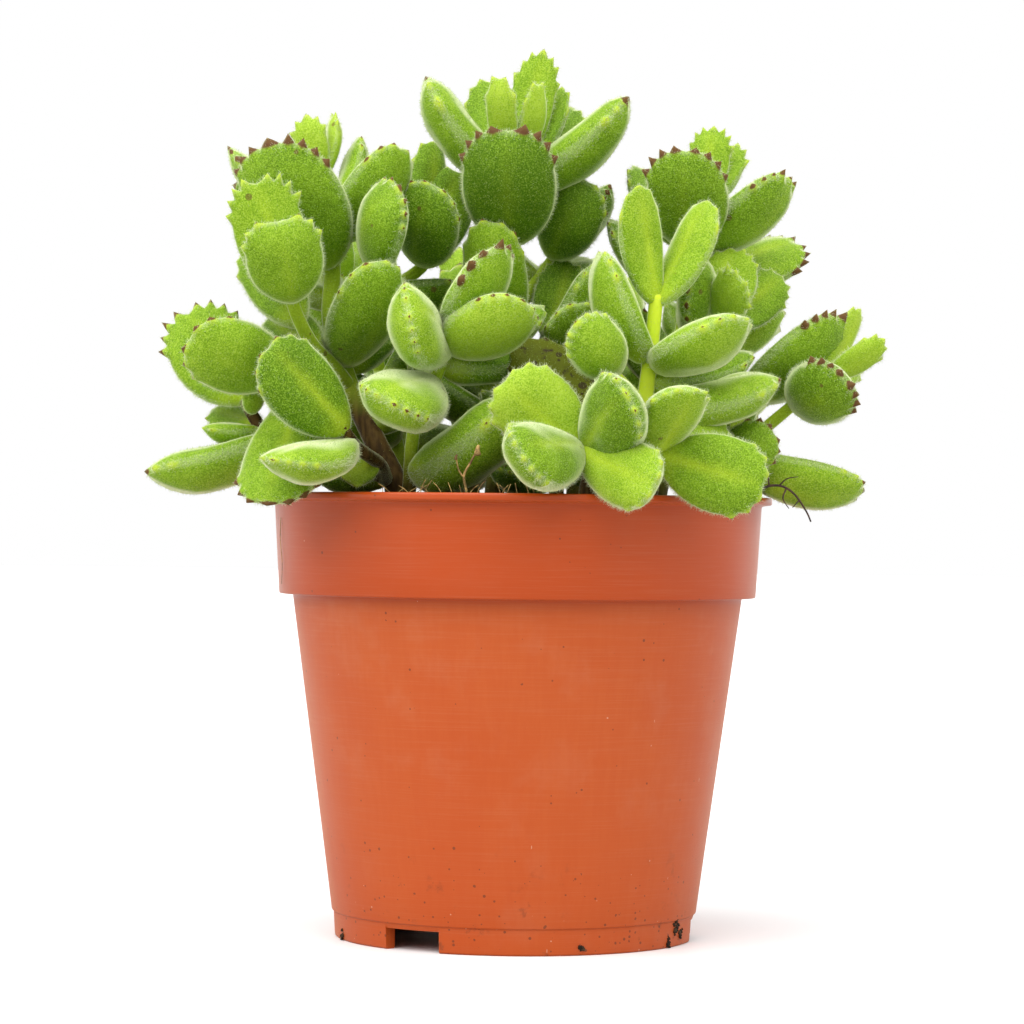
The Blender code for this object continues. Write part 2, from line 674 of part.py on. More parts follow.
def pot_profile():
    """The wall's section as (radius, height), down its outside and up its inside, except the floor."""
    slope = (BODY_TOP_RADIUS - BODY_FOOT_RADIUS) / (COLLAR_FOOT_Z - MOULD_LINE_Z)
    floor_z = FLOOR_UNDERSIDE_Z + FLOOR_THICKNESS
    lip_inside = COLLAR_TOP_RADIUS - WALL
    outside = [
        (LIP_RADIUS - 0.5 * MM, POT_HEIGHT),
        (LIP_RADIUS, POT_HEIGHT - 0.5 * MM),
        (LIP_RADIUS, POT_HEIGHT - LIP_HEIGHT),
        (COLLAR_TOP_RADIUS, POT_HEIGHT - LIP_HEIGHT - 0.3 * MM),
        (COLLAR_FOOT_RADIUS, COLLAR_FOOT_Z),
        (BODY_TOP_RADIUS, COLLAR_FOOT_Z),
        (BODY_FOOT_RADIUS, MOULD_LINE_Z),
        (FOOT_TOP_RADIUS, MOULD_LINE_Z - 0.3 * MM),
        (FOOT_RADIUS, 0.4 * MM),
        (FOOT_RADIUS - 0.4 * MM, 0),
        (FOOT_RADIUS - FOOT_RING_WIDTH, 0),
        (FOOT_RADIUS - FOOT_RING_WIDTH, FLOOR_UNDERSIDE_Z),
    ]
    inside = [
        (BODY_FOOT_RADIUS - WALL + slope * (floor_z - MOULD_LINE_Z), floor_z),
        (BODY_TOP_RADIUS - WALL, COLLAR_FOOT_Z + WALL),
        (COLLAR_FOOT_RADIUS - WALL, COLLAR_FOOT_Z + WALL),
        (lip_inside, POT_HEIGHT),
    ]
    return outside, inside


def closed_turned(outside, inside, sides):
    """A turned cup: the two ends of its section meet the axis as flat discs under and over the floor."""
    rings = outside + inside
    points, faces = [], []
    for side in range(sides):
        angle = math.tau * side / sides
        points += [(r * math.cos(angle), r * math.sin(angle), z) for r, z in rings]
    under, over = len(points), len(points) + 1
    points += [(0, 0, outside[-1][1]), (0, 0, inside[0][1])]
    count, turn_up = len(rings), len(outside) - 1
    for side in range(sides):
        here, there = side * count, (side + 1) % sides * count
        for index in range(count):
            following = (index + 1) % count
            if index != turn_up:
                faces.append((here + index, here + following, there + following, there + index))
        faces.append((here + turn_up, under, there + turn_up))
        faces.append((here + turn_up + 1, there + turn_up + 1, over))
    return points, faces


def lip_ring():
    """A ring round the lip, in mm, that leaves keep clear of."""
    inner, outer = (COLLAR_TOP_RADIUS - WALL) / MM - LIP_GAP, LIP_RADIUS / MM + LIP_GAP
    top, foot = POT_HEIGHT / MM + LIP_GAP, SOIL_TOP_Z / MM - LIP_RING_DEPTH
    return turned([(inner, foot), (outer, foot), (outer, top), (inner, top)], LIP_RING_SIDES)


def cutter(name, points, faces):
    """A hidden shape that a Boolean takes away, in metres."""
    obj = new_object(name, points, faces, scale=1)
    obj.hide_render = True
    obj.display_type = "WIRE"
    return obj


def box(width, depth, height, middle, turn):
    """Points and faces of an upright box about a middle point, turned about +Z."""
    points = []
    for x in (-width / 2, width / 2):
        for y in (-depth / 2, depth / 2):
            for z in (-height / 2, height / 2):
                points.append(middle + Matrix.Rotation(turn, 3, "Z") @ Vector((x, y, z)))
    return points, [(0, 1, 3, 2), (4, 6, 7, 5), (0, 4, 5, 1), (2, 3, 7, 6), (0, 2, 6, 4), (1, 5, 7, 3)]


def applied(obj, cutters, operation):
    """Puts a Boolean of these shapes on the object, keeps its result and removes the shapes."""
    group = bpy.data.collections.new(obj.name + "_shapes")
    bpy.context.scene.collection.children.link(group)
    for shape in cutters:
        for home in list(shape.users_collection):
            home.objects.unlink(shape)
        group.objects.link(shape)
        shape.hide_render = True
    change = obj.modifiers.new("shape", "BOOLEAN")
    change.operand_type = "COLLECTION"
    change.collection = group
    change.operation = operation
    change.solver = "EXACT"
    bpy.context.view_layer.update()
    graph = bpy.context.evaluated_depsgraph_get()
    mesh = bpy.data.meshes.new_from_object(obj.evaluated_get(graph))
    obj.modifiers.clear()
    obj.data = mesh
    for shape in list(group.objects):
        bpy.data.objects.remove(shape)
    bpy.data.collections.remove(group)
    tidy_mesh(mesh)


def tidy_mesh(mesh):
    """Joins points that coincide, and drops the skin of any hollow that is shut inside the body."""
    work = bmesh.new()
    work.from_mesh(mesh)
    bmesh.ops.remove_doubles(work, verts=work.verts, dist=MERGE_DISTANCE)
    bmesh.ops.dissolve_degenerate(work, edges=work.edges, dist=MERGE_DISTANCE)
    bmesh.ops.triangulate(work, faces=work.faces)
    left = set(work.faces)
    while left:
        skin, edge = set(), [left.pop()]
        while edge:
            face = edge.pop()
            skin.add(face)
            for side in face.edges:
                for other in side.link_faces:
                    if other in left:
                        left.discard(other)
                        edge.append(other)
        volume = sum(f.verts[0].co.dot(f.verts[1].co.cross(f.verts[2].co)) for f in skin)
        if volume < 0:
            bmesh.ops.delete(work, geom=list(skin), context="FACES")
    loose = [vert for vert in work.verts if not vert.link_faces]
    bmesh.ops.delete(work, geom=loose, context="VERTS")
    work.to_mesh(mesh)
    work.free()


def build_pot():
    """The moulded pot: a cup with a collar, a lip, notches in its foot and drain holes in its floor."""
    pot = new_object("pot", *closed_turned(*pot_profile(), POT_SIDES), scale=1)
    cuts = []
    for index in range(NOTCH_COUNT):
        turn = math.radians(FIRST_NOTCH_DEG + 360 * index / NOTCH_COUNT)
        middle = Matrix.Rotation(turn, 3, "Z") @ Vector((FOOT_RADIUS - FOOT_RING_WIDTH / 2, 0, 0))
        shape = box(4 * FOOT_RING_WIDTH, NOTCH_WIDTH, 2 * NOTCH_HEIGHT, middle, turn)
        cuts.append(cutter(f"notch_cutter_{index}", *shape))
    for index in range(DRAIN_HOLES):
        turn = math.radians(FIRST_DRAIN_DEG + 360 * index / DRAIN_HOLES)
        middle = DRAIN_CIRCLE * Vector((math.cos(turn), math.sin(turn), 0))
        hole = [(DRAIN_RADIUS, FLOOR_UNDERSIDE_Z - 1 * MM), (DRAIN_RADIUS, 3 * FLOOR_UNDERSIDE_Z)]
        cuts.append(cutter(f"drain_cutter_{index}", *cylinder(hole, middle, DRAIN_SIDES)))
    applied(pot, cuts, "DIFFERENCE")
    shade(pot, 30)
    pot.data.materials.append(material("pot_plastic", (0.66, 0.19, 0.07), 0.42))


def cylinder(ends, middle, sides):
    """An upright closed cylinder from the (radius, height) of its two ends."""
    points = []
    for radius, height in ends:
        for side in range(sides):
            angle = math.tau * side / sides
            offset = Vector((radius * math.cos(angle), radius * math.sin(angle), height))
            points.append(Vector(middle) + offset)
    faces = [(i, (i + 1) % sides, sides + (i + 1) % sides, sides + i) for i in range(sides)]
    return points, faces + [tuple(range(sides))[::-1], tuple(range(sides, 2 * sides))]


def build_soil(plants):
    """The soil: it fills the pot to just under the lip, with a hole for each plant's root."""
    _, inside = pot_profile()
    floor, waist, shelf, lip = inside
    gap = CLEARANCE
    rise = (SOIL_TOP_Z - shelf[1]) / (lip[1] - shelf[1])
    top_radius = shelf[0] + (lip[0] - shelf[0]) * rise - gap
    wall = [
        (top_radius, SOIL_TOP_Z - SOIL_EDGE_DROP),
        (shelf[0] - gap, shelf[1] + gap),
        (waist[0] - gap, shelf[1] + gap),
        (floor[0] - gap, floor[1] + gap),
    ]
    chance = random.Random(SOIL_SEED)
    points, faces = [], []
    for radius, z in wall[::-1]:
        points += ring_points(radius, [z] * SOIL_SIDES)
    for share in SOIL_RINGS:
        mound = SOIL_TOP_Z + SOIL_MOUND * (1 - share**2)
        heights = [mound + chance.uniform(-1, 1) * SOIL_LUMP for _ in range(SOIL_SIDES)]
        points += ring_points(top_radius * share, heights)
    rings = len(wall) + len(SOIL_RINGS)
    for ring in range(rings - 1):
        for side in range(SOIL_SIDES):
            following = (side + 1) % SOIL_SIDES
            low, high = ring * SOIL_SIDES, (ring + 1) * SOIL_SIDES
            faces.append((low + side, low + following, high + following, high + side))
    base, top = len(points), len(points) + 1
    points += [(0, 0, floor[1] + gap), (0, 0, SOIL_TOP_Z + SOIL_MOUND)]
    last = (rings - 1) * SOIL_SIDES
    for side in range(SOIL_SIDES):
        following = (side + 1) % SOIL_SIDES
        faces.append((base, following, side))
        faces.append((top, last + side, last + following))
    soil = new_object("soil", points, faces, scale=1)
    holes = []
    for name, plant in plants.items():
        x, y, _ = plant.branches[0].points[0]
        radius = plant.branches[0].start_radius * MM + 2 * CLEARANCE
        ends = [(radius, SOIL_TOP_Z - ROOT_HOLE_DEPTH), (radius, SOIL_TOP_Z + ROOT_HOLE_RISE)]
        shape = cylinder(ends, (x * MM, y * MM, 0), ROOT_HOLE_SIDES)
        holes.append(cutter(name + "_hole", *shape))
    applied(soil, holes, "DIFFERENCE")
    shade(soil, 40)
    soil.data.materials.append(material("potting_soil", (0.045, 0.030, 0.020), 0.95))


def ring_points(radius, heights):
    """Points round a circle, one for each height."""
    points = []
    for side, height in enumerate(heights):
        angle = math.tau * side / len(heights)
        points.append((radius * math.cos(angle), radius * math.sin(angle), height))
    return points


def shade(obj, angle_deg):
    """Smooth shading that keeps edges sharper than an angle."""
    obj.data.shade_smooth()
    obj.data.set_sharp_from_angle(angle=math.radians(angle_deg))


def build_plant(name, plant, placed, foliage):
    """One plant: its stems and leaves grown together as a single body."""
    shapes = [new_object(f"{name}_stem_{i}", *shape) for i, shape in enumerate(plant_tubes(plant))]
    for index, item in enumerate(placed):
        shapes.append(new_object(f"{name}_leaf_{index}", *item.mesh()))
    body = shapes.pop(0)
    body.name = name
    applied(body, shapes, "UNION")
    shade(body, 50)
    body.data.materials.clear()
    body.data.materials.append(foliage)


def main():
    """Clears the scene, settles the leaves and builds every piece."""
    for obj in list(bpy.data.objects):
        bpy.data.objects.remove(obj)
    plants = all_plants()
    placed = place_leaves(plants)
    settle(plants, placed)
    build_pot()
    build_soil(plants)
    foliage = material("foliage", (0.20, 0.36, 0.07), 0.6)
    for name, plant in plants.items():
        build_plant(name, plant, [item for item in placed if item.plant_name == name], foliage)


main()
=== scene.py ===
"""Looks of a bears paw succulent in its plastic grower pot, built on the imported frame.

Metres, +Z up, and the front is -Y. Places on the plants are in millimetres, as a leaf is only some
25 mm long. Each plant's solid is replaced by fine leaves and stems in one piece, with a second piece
for its short white hairs. The pot and the soil are replaced by finer ones of the same size.
"""

import logging
import math
import random
from dataclasses import dataclass
from enum import Enum
from functools import cache

import bpy
import numpy as np
from mathutils import Matrix, Vector
from mathutils.bvhtree import BVHTree


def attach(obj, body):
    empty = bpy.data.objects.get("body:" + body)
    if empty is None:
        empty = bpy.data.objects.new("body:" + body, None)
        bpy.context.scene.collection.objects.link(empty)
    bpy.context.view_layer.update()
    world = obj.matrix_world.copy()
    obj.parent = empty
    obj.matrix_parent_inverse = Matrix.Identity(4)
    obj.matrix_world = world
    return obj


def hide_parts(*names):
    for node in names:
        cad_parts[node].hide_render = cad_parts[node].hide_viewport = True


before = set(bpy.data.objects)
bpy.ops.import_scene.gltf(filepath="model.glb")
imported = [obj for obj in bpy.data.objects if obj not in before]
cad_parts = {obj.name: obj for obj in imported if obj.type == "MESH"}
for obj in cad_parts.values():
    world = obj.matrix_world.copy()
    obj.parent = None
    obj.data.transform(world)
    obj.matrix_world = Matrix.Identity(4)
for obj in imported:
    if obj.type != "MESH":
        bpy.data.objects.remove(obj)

log = logging.getLogger("bears_paw")
MM = 0.001
Array = np.ndarray
Draw = np.random.Generator
Piece = bpy.types.Object
Material = bpy.types.Material
Socket = bpy.types.NodeSocket


@dataclass(frozen=True)
class Branch:
    """A stem: the points that its middle runs through, in mm, and its radius at each end."""

    points: tuple
    start_radius: float
    end_radius: float


@dataclass(frozen=True)
class Leaf:
    """A leaf, in mm, as its solid has it, with its colour.

    light runs from 0, an aged dark leaf, to 1, a bright young one, and its low values also darken
    leaves deep in the clump as painted shade. brown is how dark its teeth are, brown_reach how far
    that runs from its tip to its last tooth, and dead how far it has withered.
    """

    base: tuple
    tip: tuple
    width: float
    thickness: float
    teeth: int = 6
    tooth: float = 0.6
    facing: tuple = ()
    blunt: float = 0.75
    light: float = 0.45
    brown: float = 0.5
    brown_reach: float = 1.2
    dead: float = 0.0


@dataclass(frozen=True)
class Plant:
    """A rooted plant. Its first branch stands in the soil, and is woody up to a height in mm.

    stem_glow runs from 0, a stem as green as the leaves, to 2, a bright yellow-green one.
    """

    branches: tuple
    leaves: tuple
    woody_to: float = 97.0
    stem_glow: float = 0.8


@dataclass(frozen=True)
class RearShoot:
    """A shoot that the front hides: leaves in crossed pairs up a leaning stem, in mm and degrees."""

    root: tuple
    top: tuple
    first_turn_deg: float
    pairs: int


CENTRE_TALL = Plant(
    branches=(
        Branch(((-5, 10, 93), (-4, 11, 105), (-3, 10, 124), (-2, 5, 140), (-2, 3, 160)), 2.2, 1.5),
        Branch(((-3, 9, 122), (1, 14, 133), (7, 16, 142), (9, 18, 147)), 1.4, 1.2),
    ),
    leaves=(
        Leaf((-3, 2, 156), (-20, 2, 177.5), 16, 9.5, teeth=5, tooth=0.8, brown=1, brown_reach=0.3),
        Leaf((-1, 2, 155), (21.5, 0, 173.5), 16, 10, teeth=7, tooth=0.9, brown=1, brown_reach=0.35),
        Leaf((-2, 2, 143), (-3, -15, 165), 19.5, 9.5, teeth=8, tooth=1.1, blunt=0.6, light=0.1, brown=1),
        Leaf((-2, 3, 156), (-7, 17, 179), 13, 6, light=0.4, brown=0),
        Leaf((-2, 3, 159), (-5, -5, 177), 6.5, 4, teeth=4, tooth=0.8, light=0.9, brown=0),
        Leaf((-2, 3, 159), (3, -3, 176), 6.5, 4, teeth=4, tooth=0.8, light=0.9, brown=0),
        Leaf(
            (-2, 4, 158), (4, 9, 183.5), 9.5, 4.5, teeth=7, tooth=1.0,
            facing=(0, -1, 0.2), light=0.6, brown=0,
        ),
        Leaf((-2, 4, 157), (8, 14, 177), 8, 4.5, teeth=5, light=0.4, brown=0),
        Leaf((-2, 4, 151), (10, 23, 174), 13, 7, teeth=7, light=0.15),
        Leaf((7, 16, 142), (13.5, 2, 156.5), 13.5, 8.5, light=0.2, brown=0.5),
        Leaf((8, 18, 144), (18, 24, 157), 13, 7, teeth=7, light=0.25, brown=0.9),
        Leaf((5, 16, 138), (17, 27, 142), 11, 6, light=0.15),
        Leaf((3, 16, 134), (3, 30, 142), 11, 6, light=0.2),
        Leaf((3, 16, 138), (-6, 27, 147), 11, 6, light=0.2),
        Leaf((-3, 9, 125), (-6, -8, 147), 14, 6.5, light=0.5),
        Leaf((-4, 11, 112), (-14, 24, 124), 14, 7, light=0.2),
        Leaf((-4, 11, 107), (-21, 1, 117), 13, 7, light=0.15),
        Leaf((-3, 10, 119), (-19, 1, 129), 13, 7, light=0.15),
    ),
)

CENTRE_FRONT = Plant(
    branches=(
        Branch(
            ((-22, -22, 93), (-21, -24, 105), (-17, -26, 114), (-15, -26, 120), (-14, -24, 126)),
            1.5,
            1.2,
        ),
    ),
    leaves=(
        Leaf(
            (-14, -24, 125), (-6, -37, 139), 17.5, 8, teeth=6, tooth=1.3,
            facing=(-0.73, 0.3, 0.62), light=0.5, brown=1,
        ),
        Leaf((-15, -26, 120), (-22, -46, 127), 16, 10, teeth=8, facing=(1, 0, 0.2), light=0.6, brown=0.5),
        Leaf((-14, -25, 121), (0, -38, 129), 16.5, 9, teeth=7, light=0.8, brown=0.6),
        Leaf((-17, -26, 113), (-26, -50, 109), 16.5, 10.5, teeth=8, light=0.6, brown=0.5),
        Leaf((-15, -25, 117), (1, -14, 121), 14, 8, light=0.3),
        Leaf((-15, -25, 119), (3, -8, 130), 13, 6.5, light=0.4),
        Leaf((-22, -22, 94), (-1, -31, 110), 15, 13, teeth=5, light=0.5, brown=0.4),
    ),
)

LEFT_TALL = Plant(
    branches=(
        Branch(
            ((-25, -14, 93), (-29, -12, 101), (-33, -10, 109), (-36, -8, 116), (-39, -6, 127), (-39, -4, 138),
             (-41, 1, 149), (-42, 4, 158)),
            2.7,
            1.4,
        ),
        Branch(((-38, -6, 125), (-33, 1, 131), (-26, 6, 135), (-20, 8, 140), (-19, 9, 147)), 1.5, 1.2),
        Branch(((-38, -6, 127), (-34, -9, 133), (-29, -11, 138)), 1.4, 1.2),
        Branch(
            ((-35, -9, 113), (-38, -14, 117), (-42, -20, 121), (-45, -26, 127), (-46, -28, 131)),
            1.6,
            1.3,
        ),
        Branch(((-26, -14, 94), (-34, -17, 98), (-44, -17, 101), (-52, -16, 104), (-56, -16, 110)), 1.8, 1.2),
        Branch(((-33, -17, 98), (-38, -21, 107), (-43, -24, 112), (-48, -22, 116)), 1.3, 1.1),
        Branch(((-27, -15, 94), (-28, -26, 97), (-32, -35, 100), (-35, -39, 104)), 1.5, 1.2),
    ),
    leaves=(
        Leaf((-37, -8, 119), (-29, -27, 137), 16, 9.5, light=0.45, brown=0.55),
        Leaf((-39, -4, 138), (-51, -19, 161), 22.5, 10, teeth=9, tooth=1.3, light=0.4, brown=1),
        Leaf((-42, 3, 157), (-45, 3, 169), 7.5, 3.5, teeth=5, tooth=0.9, light=0.9, brown=0),
        Leaf((-42, 4, 157), (-40, 9, 170), 7.5, 3.5, teeth=5, tooth=0.9, light=1, brown=0),
        Leaf((-40, 0, 146), (-35, 12, 165), 13, 6, light=0.5, brown=0.6),
        Leaf((-39, -2, 144), (-25, -9, 162), 14, 8.5, light=0.5, brown=0.65),
        Leaf((-41, 1, 147), (-61, 14, 163), 13, 6.5, teeth=7, light=0.5, brown=0.9),
        Leaf((-20, 8, 142), (-19, 20, 166), 9, 5.5, teeth=5, light=0.35, brown=0),
        Leaf((-20, 8, 140), (-18, -10, 154), 14.5, 8.5, light=0.2, brown=0.6),
        Leaf((-20, 8, 141), (-14, 19, 160), 13, 6.5, light=0.35, brown=0.2),
        Leaf((-29, -11, 137), (-25, -23, 152), 15, 8, teeth=7, tooth=0.9, light=0.35, brown=0.65),
        Leaf(
            (-46, -28, 129), (-48, -39, 144), 15.5, 8, teeth=6, tooth=0.8, blunt=0.45,
            light=0.55, brown=0.3,
        ),
        Leaf(
            (-46, -28, 128), (-53, -29, 152.5), 14.5, 6, teeth=8, tooth=1.4, blunt=0.6,
            light=0.6, brown=0.1,
        ),
        Leaf((-44, -24, 125), (-55.5, -9, 141.5), 11.5, 7, light=0.35),
        Leaf((-41, -18, 120), (-52, -3, 127), 11, 6.5, light=0.2),
        Leaf((-55, -16, 109), (-68, -9, 127.5), 17.5, 7.5, teeth=8, tooth=1.4, light=0.5, brown=0.8),
        Leaf((-53, -16, 105), (-63, -5, 108), 8, 4.5, teeth=5, light=0.5, brown=0.7),
        Leaf((-52, -16, 104), (-64, -15, 104), 7.5, 4.5, teeth=4, light=0.55, brown=0.3),
        Leaf((-54, -16, 107), (-54, -22, 113), 5, 3.5, teeth=3, light=0.6, brown=0),
        Leaf((-48, -17, 102), (-75, -16, 94.5), 15, 9, teeth=6, light=0.6, brown=0.9, brown_reach=0.4),
        Leaf((-48, -22, 115), (-65, -37, 121), 15.5, 8.5, light=0.6, brown=0.7),
        Leaf(
            (-43, -24, 112), (-49, -42, 89), 18, 7.5, teeth=7, tooth=1.2,
            facing=(-0.3, -1, 0.3), light=0.55, brown=1,
        ),
        Leaf((-34, -38, 102), (-49, -45, 119), 15.5, 8.5, light=0.2, brown=0.6),
        Leaf((-32, -36, 100), (-47, -55, 97), 14, 8, teeth=7, light=0.65, brown=0.4),
        Leaf((-28, -26, 97), (-35, -31, 94.5), 6, 4, teeth=3, light=0.8, brown=0),
        Leaf((-36, -8, 117), (-27, 6, 128), 12, 6.5, light=0.15),
        Leaf((-39, -5, 131), (-44, 16, 138), 13, 7, light=0.2),
        Leaf((-37, -7, 121), (-38, 15, 124), 13, 7, light=0.15),
        Leaf((-33, -10, 108), (-46, 2, 116), 12, 6.5, light=0.15),
        Leaf((-31, -11, 105), (-19, -4, 115), 12, 6.5, light=0.15),
        Leaf((-30, 3, 133), (-14, 11, 134), 12, 6.5, light=0.1),
        Leaf((-26, -14, 95), (-43, -5, 97), 9, 6.5, light=0.2),
    ),
    woody_to=112.0,
)

MIDDLE = Plant(
    branches=(Branch(((8, 12, 93), (7, 10, 107), (6, 8, 120), (7, 6, 127)), 1.7, 1.2),),
    leaves=(
        Leaf((6, 8, 123), (16, -2, 139), 13.5, 7.5, light=0.4),
        Leaf((7, 9, 116), (12, -15, 130), 13.5, 7.5, light=0.4),
        Leaf((7, 10, 113), (-5, -3, 124), 13, 7, light=0.25),
        Leaf((7, 10, 108), (20, 6, 121), 13, 7, light=0.25),
        Leaf((7, 8, 124), (7, 17, 139), 11, 6, teeth=7, light=0.25),
        Leaf((7, 11, 104), (-8, 0, 112), 12, 6, light=0.15),
        Leaf((7, 11, 104), (20, 0, 108), 12, 6, light=0.15),
        Leaf((8, 12, 95), (-7, 3, 97), 10, 6.5, light=0.1),
        Leaf((8, 12, 97), (24, 7, 98), 10, 6.5, light=0.1),
    ),
)

RIGHT_FRONT = Plant(
    branches=(
        Branch(
            ((14, -28, 93), (16, -30, 97), (20, -32, 100), (24, -31, 105), (25, -30, 111), (26, -30, 120),
             (27, -30, 131)),
            2.1,
            1.4,
        ),
        Branch(((16, -30, 97), (14, -38, 98.5), (12, -45, 99.5)), 1.5, 1.2),
        Branch(((20, -32, 100), (24, -39, 99.5), (27, -46, 99)), 1.5, 1.2),
        Branch(((25, -30, 109), (21, -32, 113), (18, -35, 116)), 1.2, 1.0),
    ),
    leaves=(
        Leaf(
            (27, -30, 129), (23, -34, 152), 10.5, 5, teeth=5, tooth=0.4,
            facing=(0.6, -0.8, 0.2), light=0.65, brown=0,
        ),
        Leaf(
            (27, -30, 129), (37, -26, 150), 12, 5, teeth=5, tooth=0.4,
            facing=(-0.7, -0.6, 0.3), light=0.65, brown=0,
        ),
        Leaf((26, -30, 118), (16, -33, 139), 15, 8.5, light=0.55, brown=0.4),
        Leaf((26, -30, 118), (43, -42, 126), 16, 9, light=0.65, brown=0.3),
        Leaf((25, -30, 109), (51, -23, 115), 16, 9.5, tooth=0.8, light=0.6, brown=0.9, brown_reach=0.4),
        Leaf((26, -30, 114), (46, -14, 120.5), 11, 7, light=0.35),
        Leaf((12, -44, 99.5), (-3, -47, 113), 16, 8.5, light=0.9, brown=0.2),
        Leaf((13, -42, 99.5), (20, -64, 110), 15.5, 9.5, teeth=7, light=0.25, brown=0.4),
        Leaf((12, -45, 99.5), (0, -67, 99), 14.5, 10, teeth=8, light=0.4, brown=0),
        Leaf((13, -45, 100), (29, -62, 91), 13.5, 7.5, light=0.75, brown=0.1),
        Leaf((18, -35, 116), (11, -50, 124), 11.5, 9, teeth=7, light=0.55, brown=0.3),
        Leaf((22, -31, 104), (0, -21, 121), 16, 6.5, facing=(0.2, -0.9, 0.5), light=0.2, dead=1),
        Leaf((27, -45, 99), (32, -60, 111), 12.5, 7, light=0.7, brown=0.2),
        Leaf((27, -46, 99), (47, -53, 93), 15.5, 8, light=0.45, brown=0.3),
        Leaf((24, -40, 99.5), (42, -27, 103), 9, 5.5, teeth=5, light=0.8, brown=0),
    ),
    woody_to=100.0,
    stem_glow=2.4,
)

RIGHT_TALL = Plant(
    branches=(
        Branch(
            ((27, -4, 93), (31, -4, 107), (33, -2, 122), (35, 0, 134), (36, 2, 145), (37, 2, 154)),
            2.1,
            1.4,
        ),
        Branch(((33, -2, 121), (38, -7, 124), (42, -10, 128)), 1.4, 1.2),
    ),
    leaves=(
        Leaf((36, 1, 143), (33, -17, 161), 17, 8.5, teeth=8, tooth=1.3, light=0.4, brown=1),
        Leaf((37, 3, 152), (40, 7, 168), 9, 4.5, teeth=7, tooth=0.9, light=0.6, brown=0),
        Leaf((37, 3, 152), (45, 12, 165), 8, 4.5, teeth=5, tooth=0.9, light=0.5, brown=0),
        Leaf((36, 2, 143), (25, 18, 161), 12, 6.5, light=0.3),
        Leaf((36, 2, 143), (54, -7, 157), 14.5, 9, teeth=8, tooth=1.1, light=0.4, brown=0.8),
        Leaf(
            (35, 1, 136), (58, 14, 145), 15, 7.5, teeth=8, tooth=1.3,
            facing=(-0.3, -0.7, 0.6), light=0.5, brown=1,
        ),
        Leaf((34, -1, 129), (34, -22, 135), 15, 8, facing=(-1, 0, 0.2), light=0.4, brown=0.8),
        Leaf((42, -9, 127), (43, -5, 142), 12.5, 5, teeth=7, facing=(-0.4, -1, 0.2), light=0.65, brown=0),
        Leaf((42, -10, 127), (44, -24, 135), 10, 5, teeth=6, tooth=0.9, light=0.85, brown=0),
        Leaf((41, -9, 126), (54, 2, 137), 11, 5.5, teeth=7, light=0.4, brown=0.3),
        Leaf((35, 1, 133), (20, 14, 149), 13, 7, light=0.2, brown=0.6),
        Leaf((32, -3, 113), (20, 4, 131), 13, 7, light=0.35),
    ),
)

RIGHT_FAR = Plant(
    branches=(
        Branch(((38, -2, 93), (44, -4, 100), (50, -4, 105), (57, -5, 111), (64, -6, 117)), 1.6, 1.1),
        Branch(((42, -3, 97), (45, 0, 106), (47, 2, 114)), 1.4, 1.2),
    ),
    leaves=(
        Leaf((46, 2, 112), (66, -5, 128), 18, 8.5, teeth=9, tooth=1.3, light=0.4, brown=1),
        Leaf((58, -5, 112), (65, -26, 115), 14, 9, teeth=8, tooth=1.1, light=0.35, brown=1),
        Leaf((64, -6, 116), (70, -2, 130), 7, 4, teeth=5, light=0.9, brown=0),
        Leaf((64, -6, 116), (74, -11, 123.5), 6, 4, teeth=5, light=0.9, brown=0),
        Leaf((64, -6, 116), (70, 5, 120), 8, 4.5, teeth=5, light=0.7, brown=0),
    ),
)

RIGHT_LOW = Plant(
    branches=(Branch(((35, -17, 93), (38, -17, 96), (42, -15, 98.5), (46, -13, 99.5)), 1.6, 1.2),),
    leaves=(
        Leaf((39, -16, 97), (51, -24, 104), 10.5, 6, light=0.4, brown=0.9),
        Leaf((44, -14, 98), (70, -11, 92.8), 12.5, 7, teeth=7, light=0.6, brown=0.9, brown_reach=0.4),
    ),
)

REAR_SHOOTS = {
    "plant_rear_left": RearShoot((-24, 15, 93), (-38, 34, 138), 20, 5),
    "plant_rear_middle_left": RearShoot((-10, 29, 93), (-14, 53, 132), 50, 5),
    "plant_rear_middle_right": RearShoot((12, 28, 93), (16, 54, 130), 35, 5),
    "plant_rear_right": RearShoot((30, 14, 93), (46, 35, 134), 80, 5),
}
REAR_FIRST_PAIR = 0.16
REAR_LAST_PAIR = 0.97
REAR_BOW = 6.0
REAR_LOW_LEAF = 25.0
REAR_TOP_LEAF = 15.0
REAR_LOW_SPREAD_DEG = 68.0
REAR_TOP_SPREAD_DEG = 24.0
REAR_WIDTH_SHARE = 0.62
REAR_THICKNESS_SHARE = 0.34
REAR_TURN_VARIES_DEG = 14.0
REAR_LEAN_VARIES_DEG = 8.0
REAR_SIZE_VARIES = 0.08
REAR_LOW_LIGHT = 0.3
REAR_LIGHT_GAIN = 0.45
REAR_LOW_BROWN = 0.9
REAR_BROWN_LOSS = 0.8
REAR_TEETH = 5
REAR_TOOTH = 0.9
REAR_STEM_RADII = (1.8, 1.2)
REAR_SEED = 11
START_DOME = 0.4
END_DOME = 0.6


@dataclass(frozen=True)
class LeafShape:
    """Numbers that every leaf shares with its solid, as shares of its size or in degrees."""

    centre: float = 0.58
    base_power: float = 1.3
    teeth_span_deg: float = 60.0
    inner_ring_deg: float = 46.0
    upper_share: float = 0.85
    lower_share: float = 1.15
    bend: float = 0.06
    dome_power: float = 0.85
    dome_varies: float = 0.2
    wide_leaf: float = 12.0


SHAPE = LeafShape()


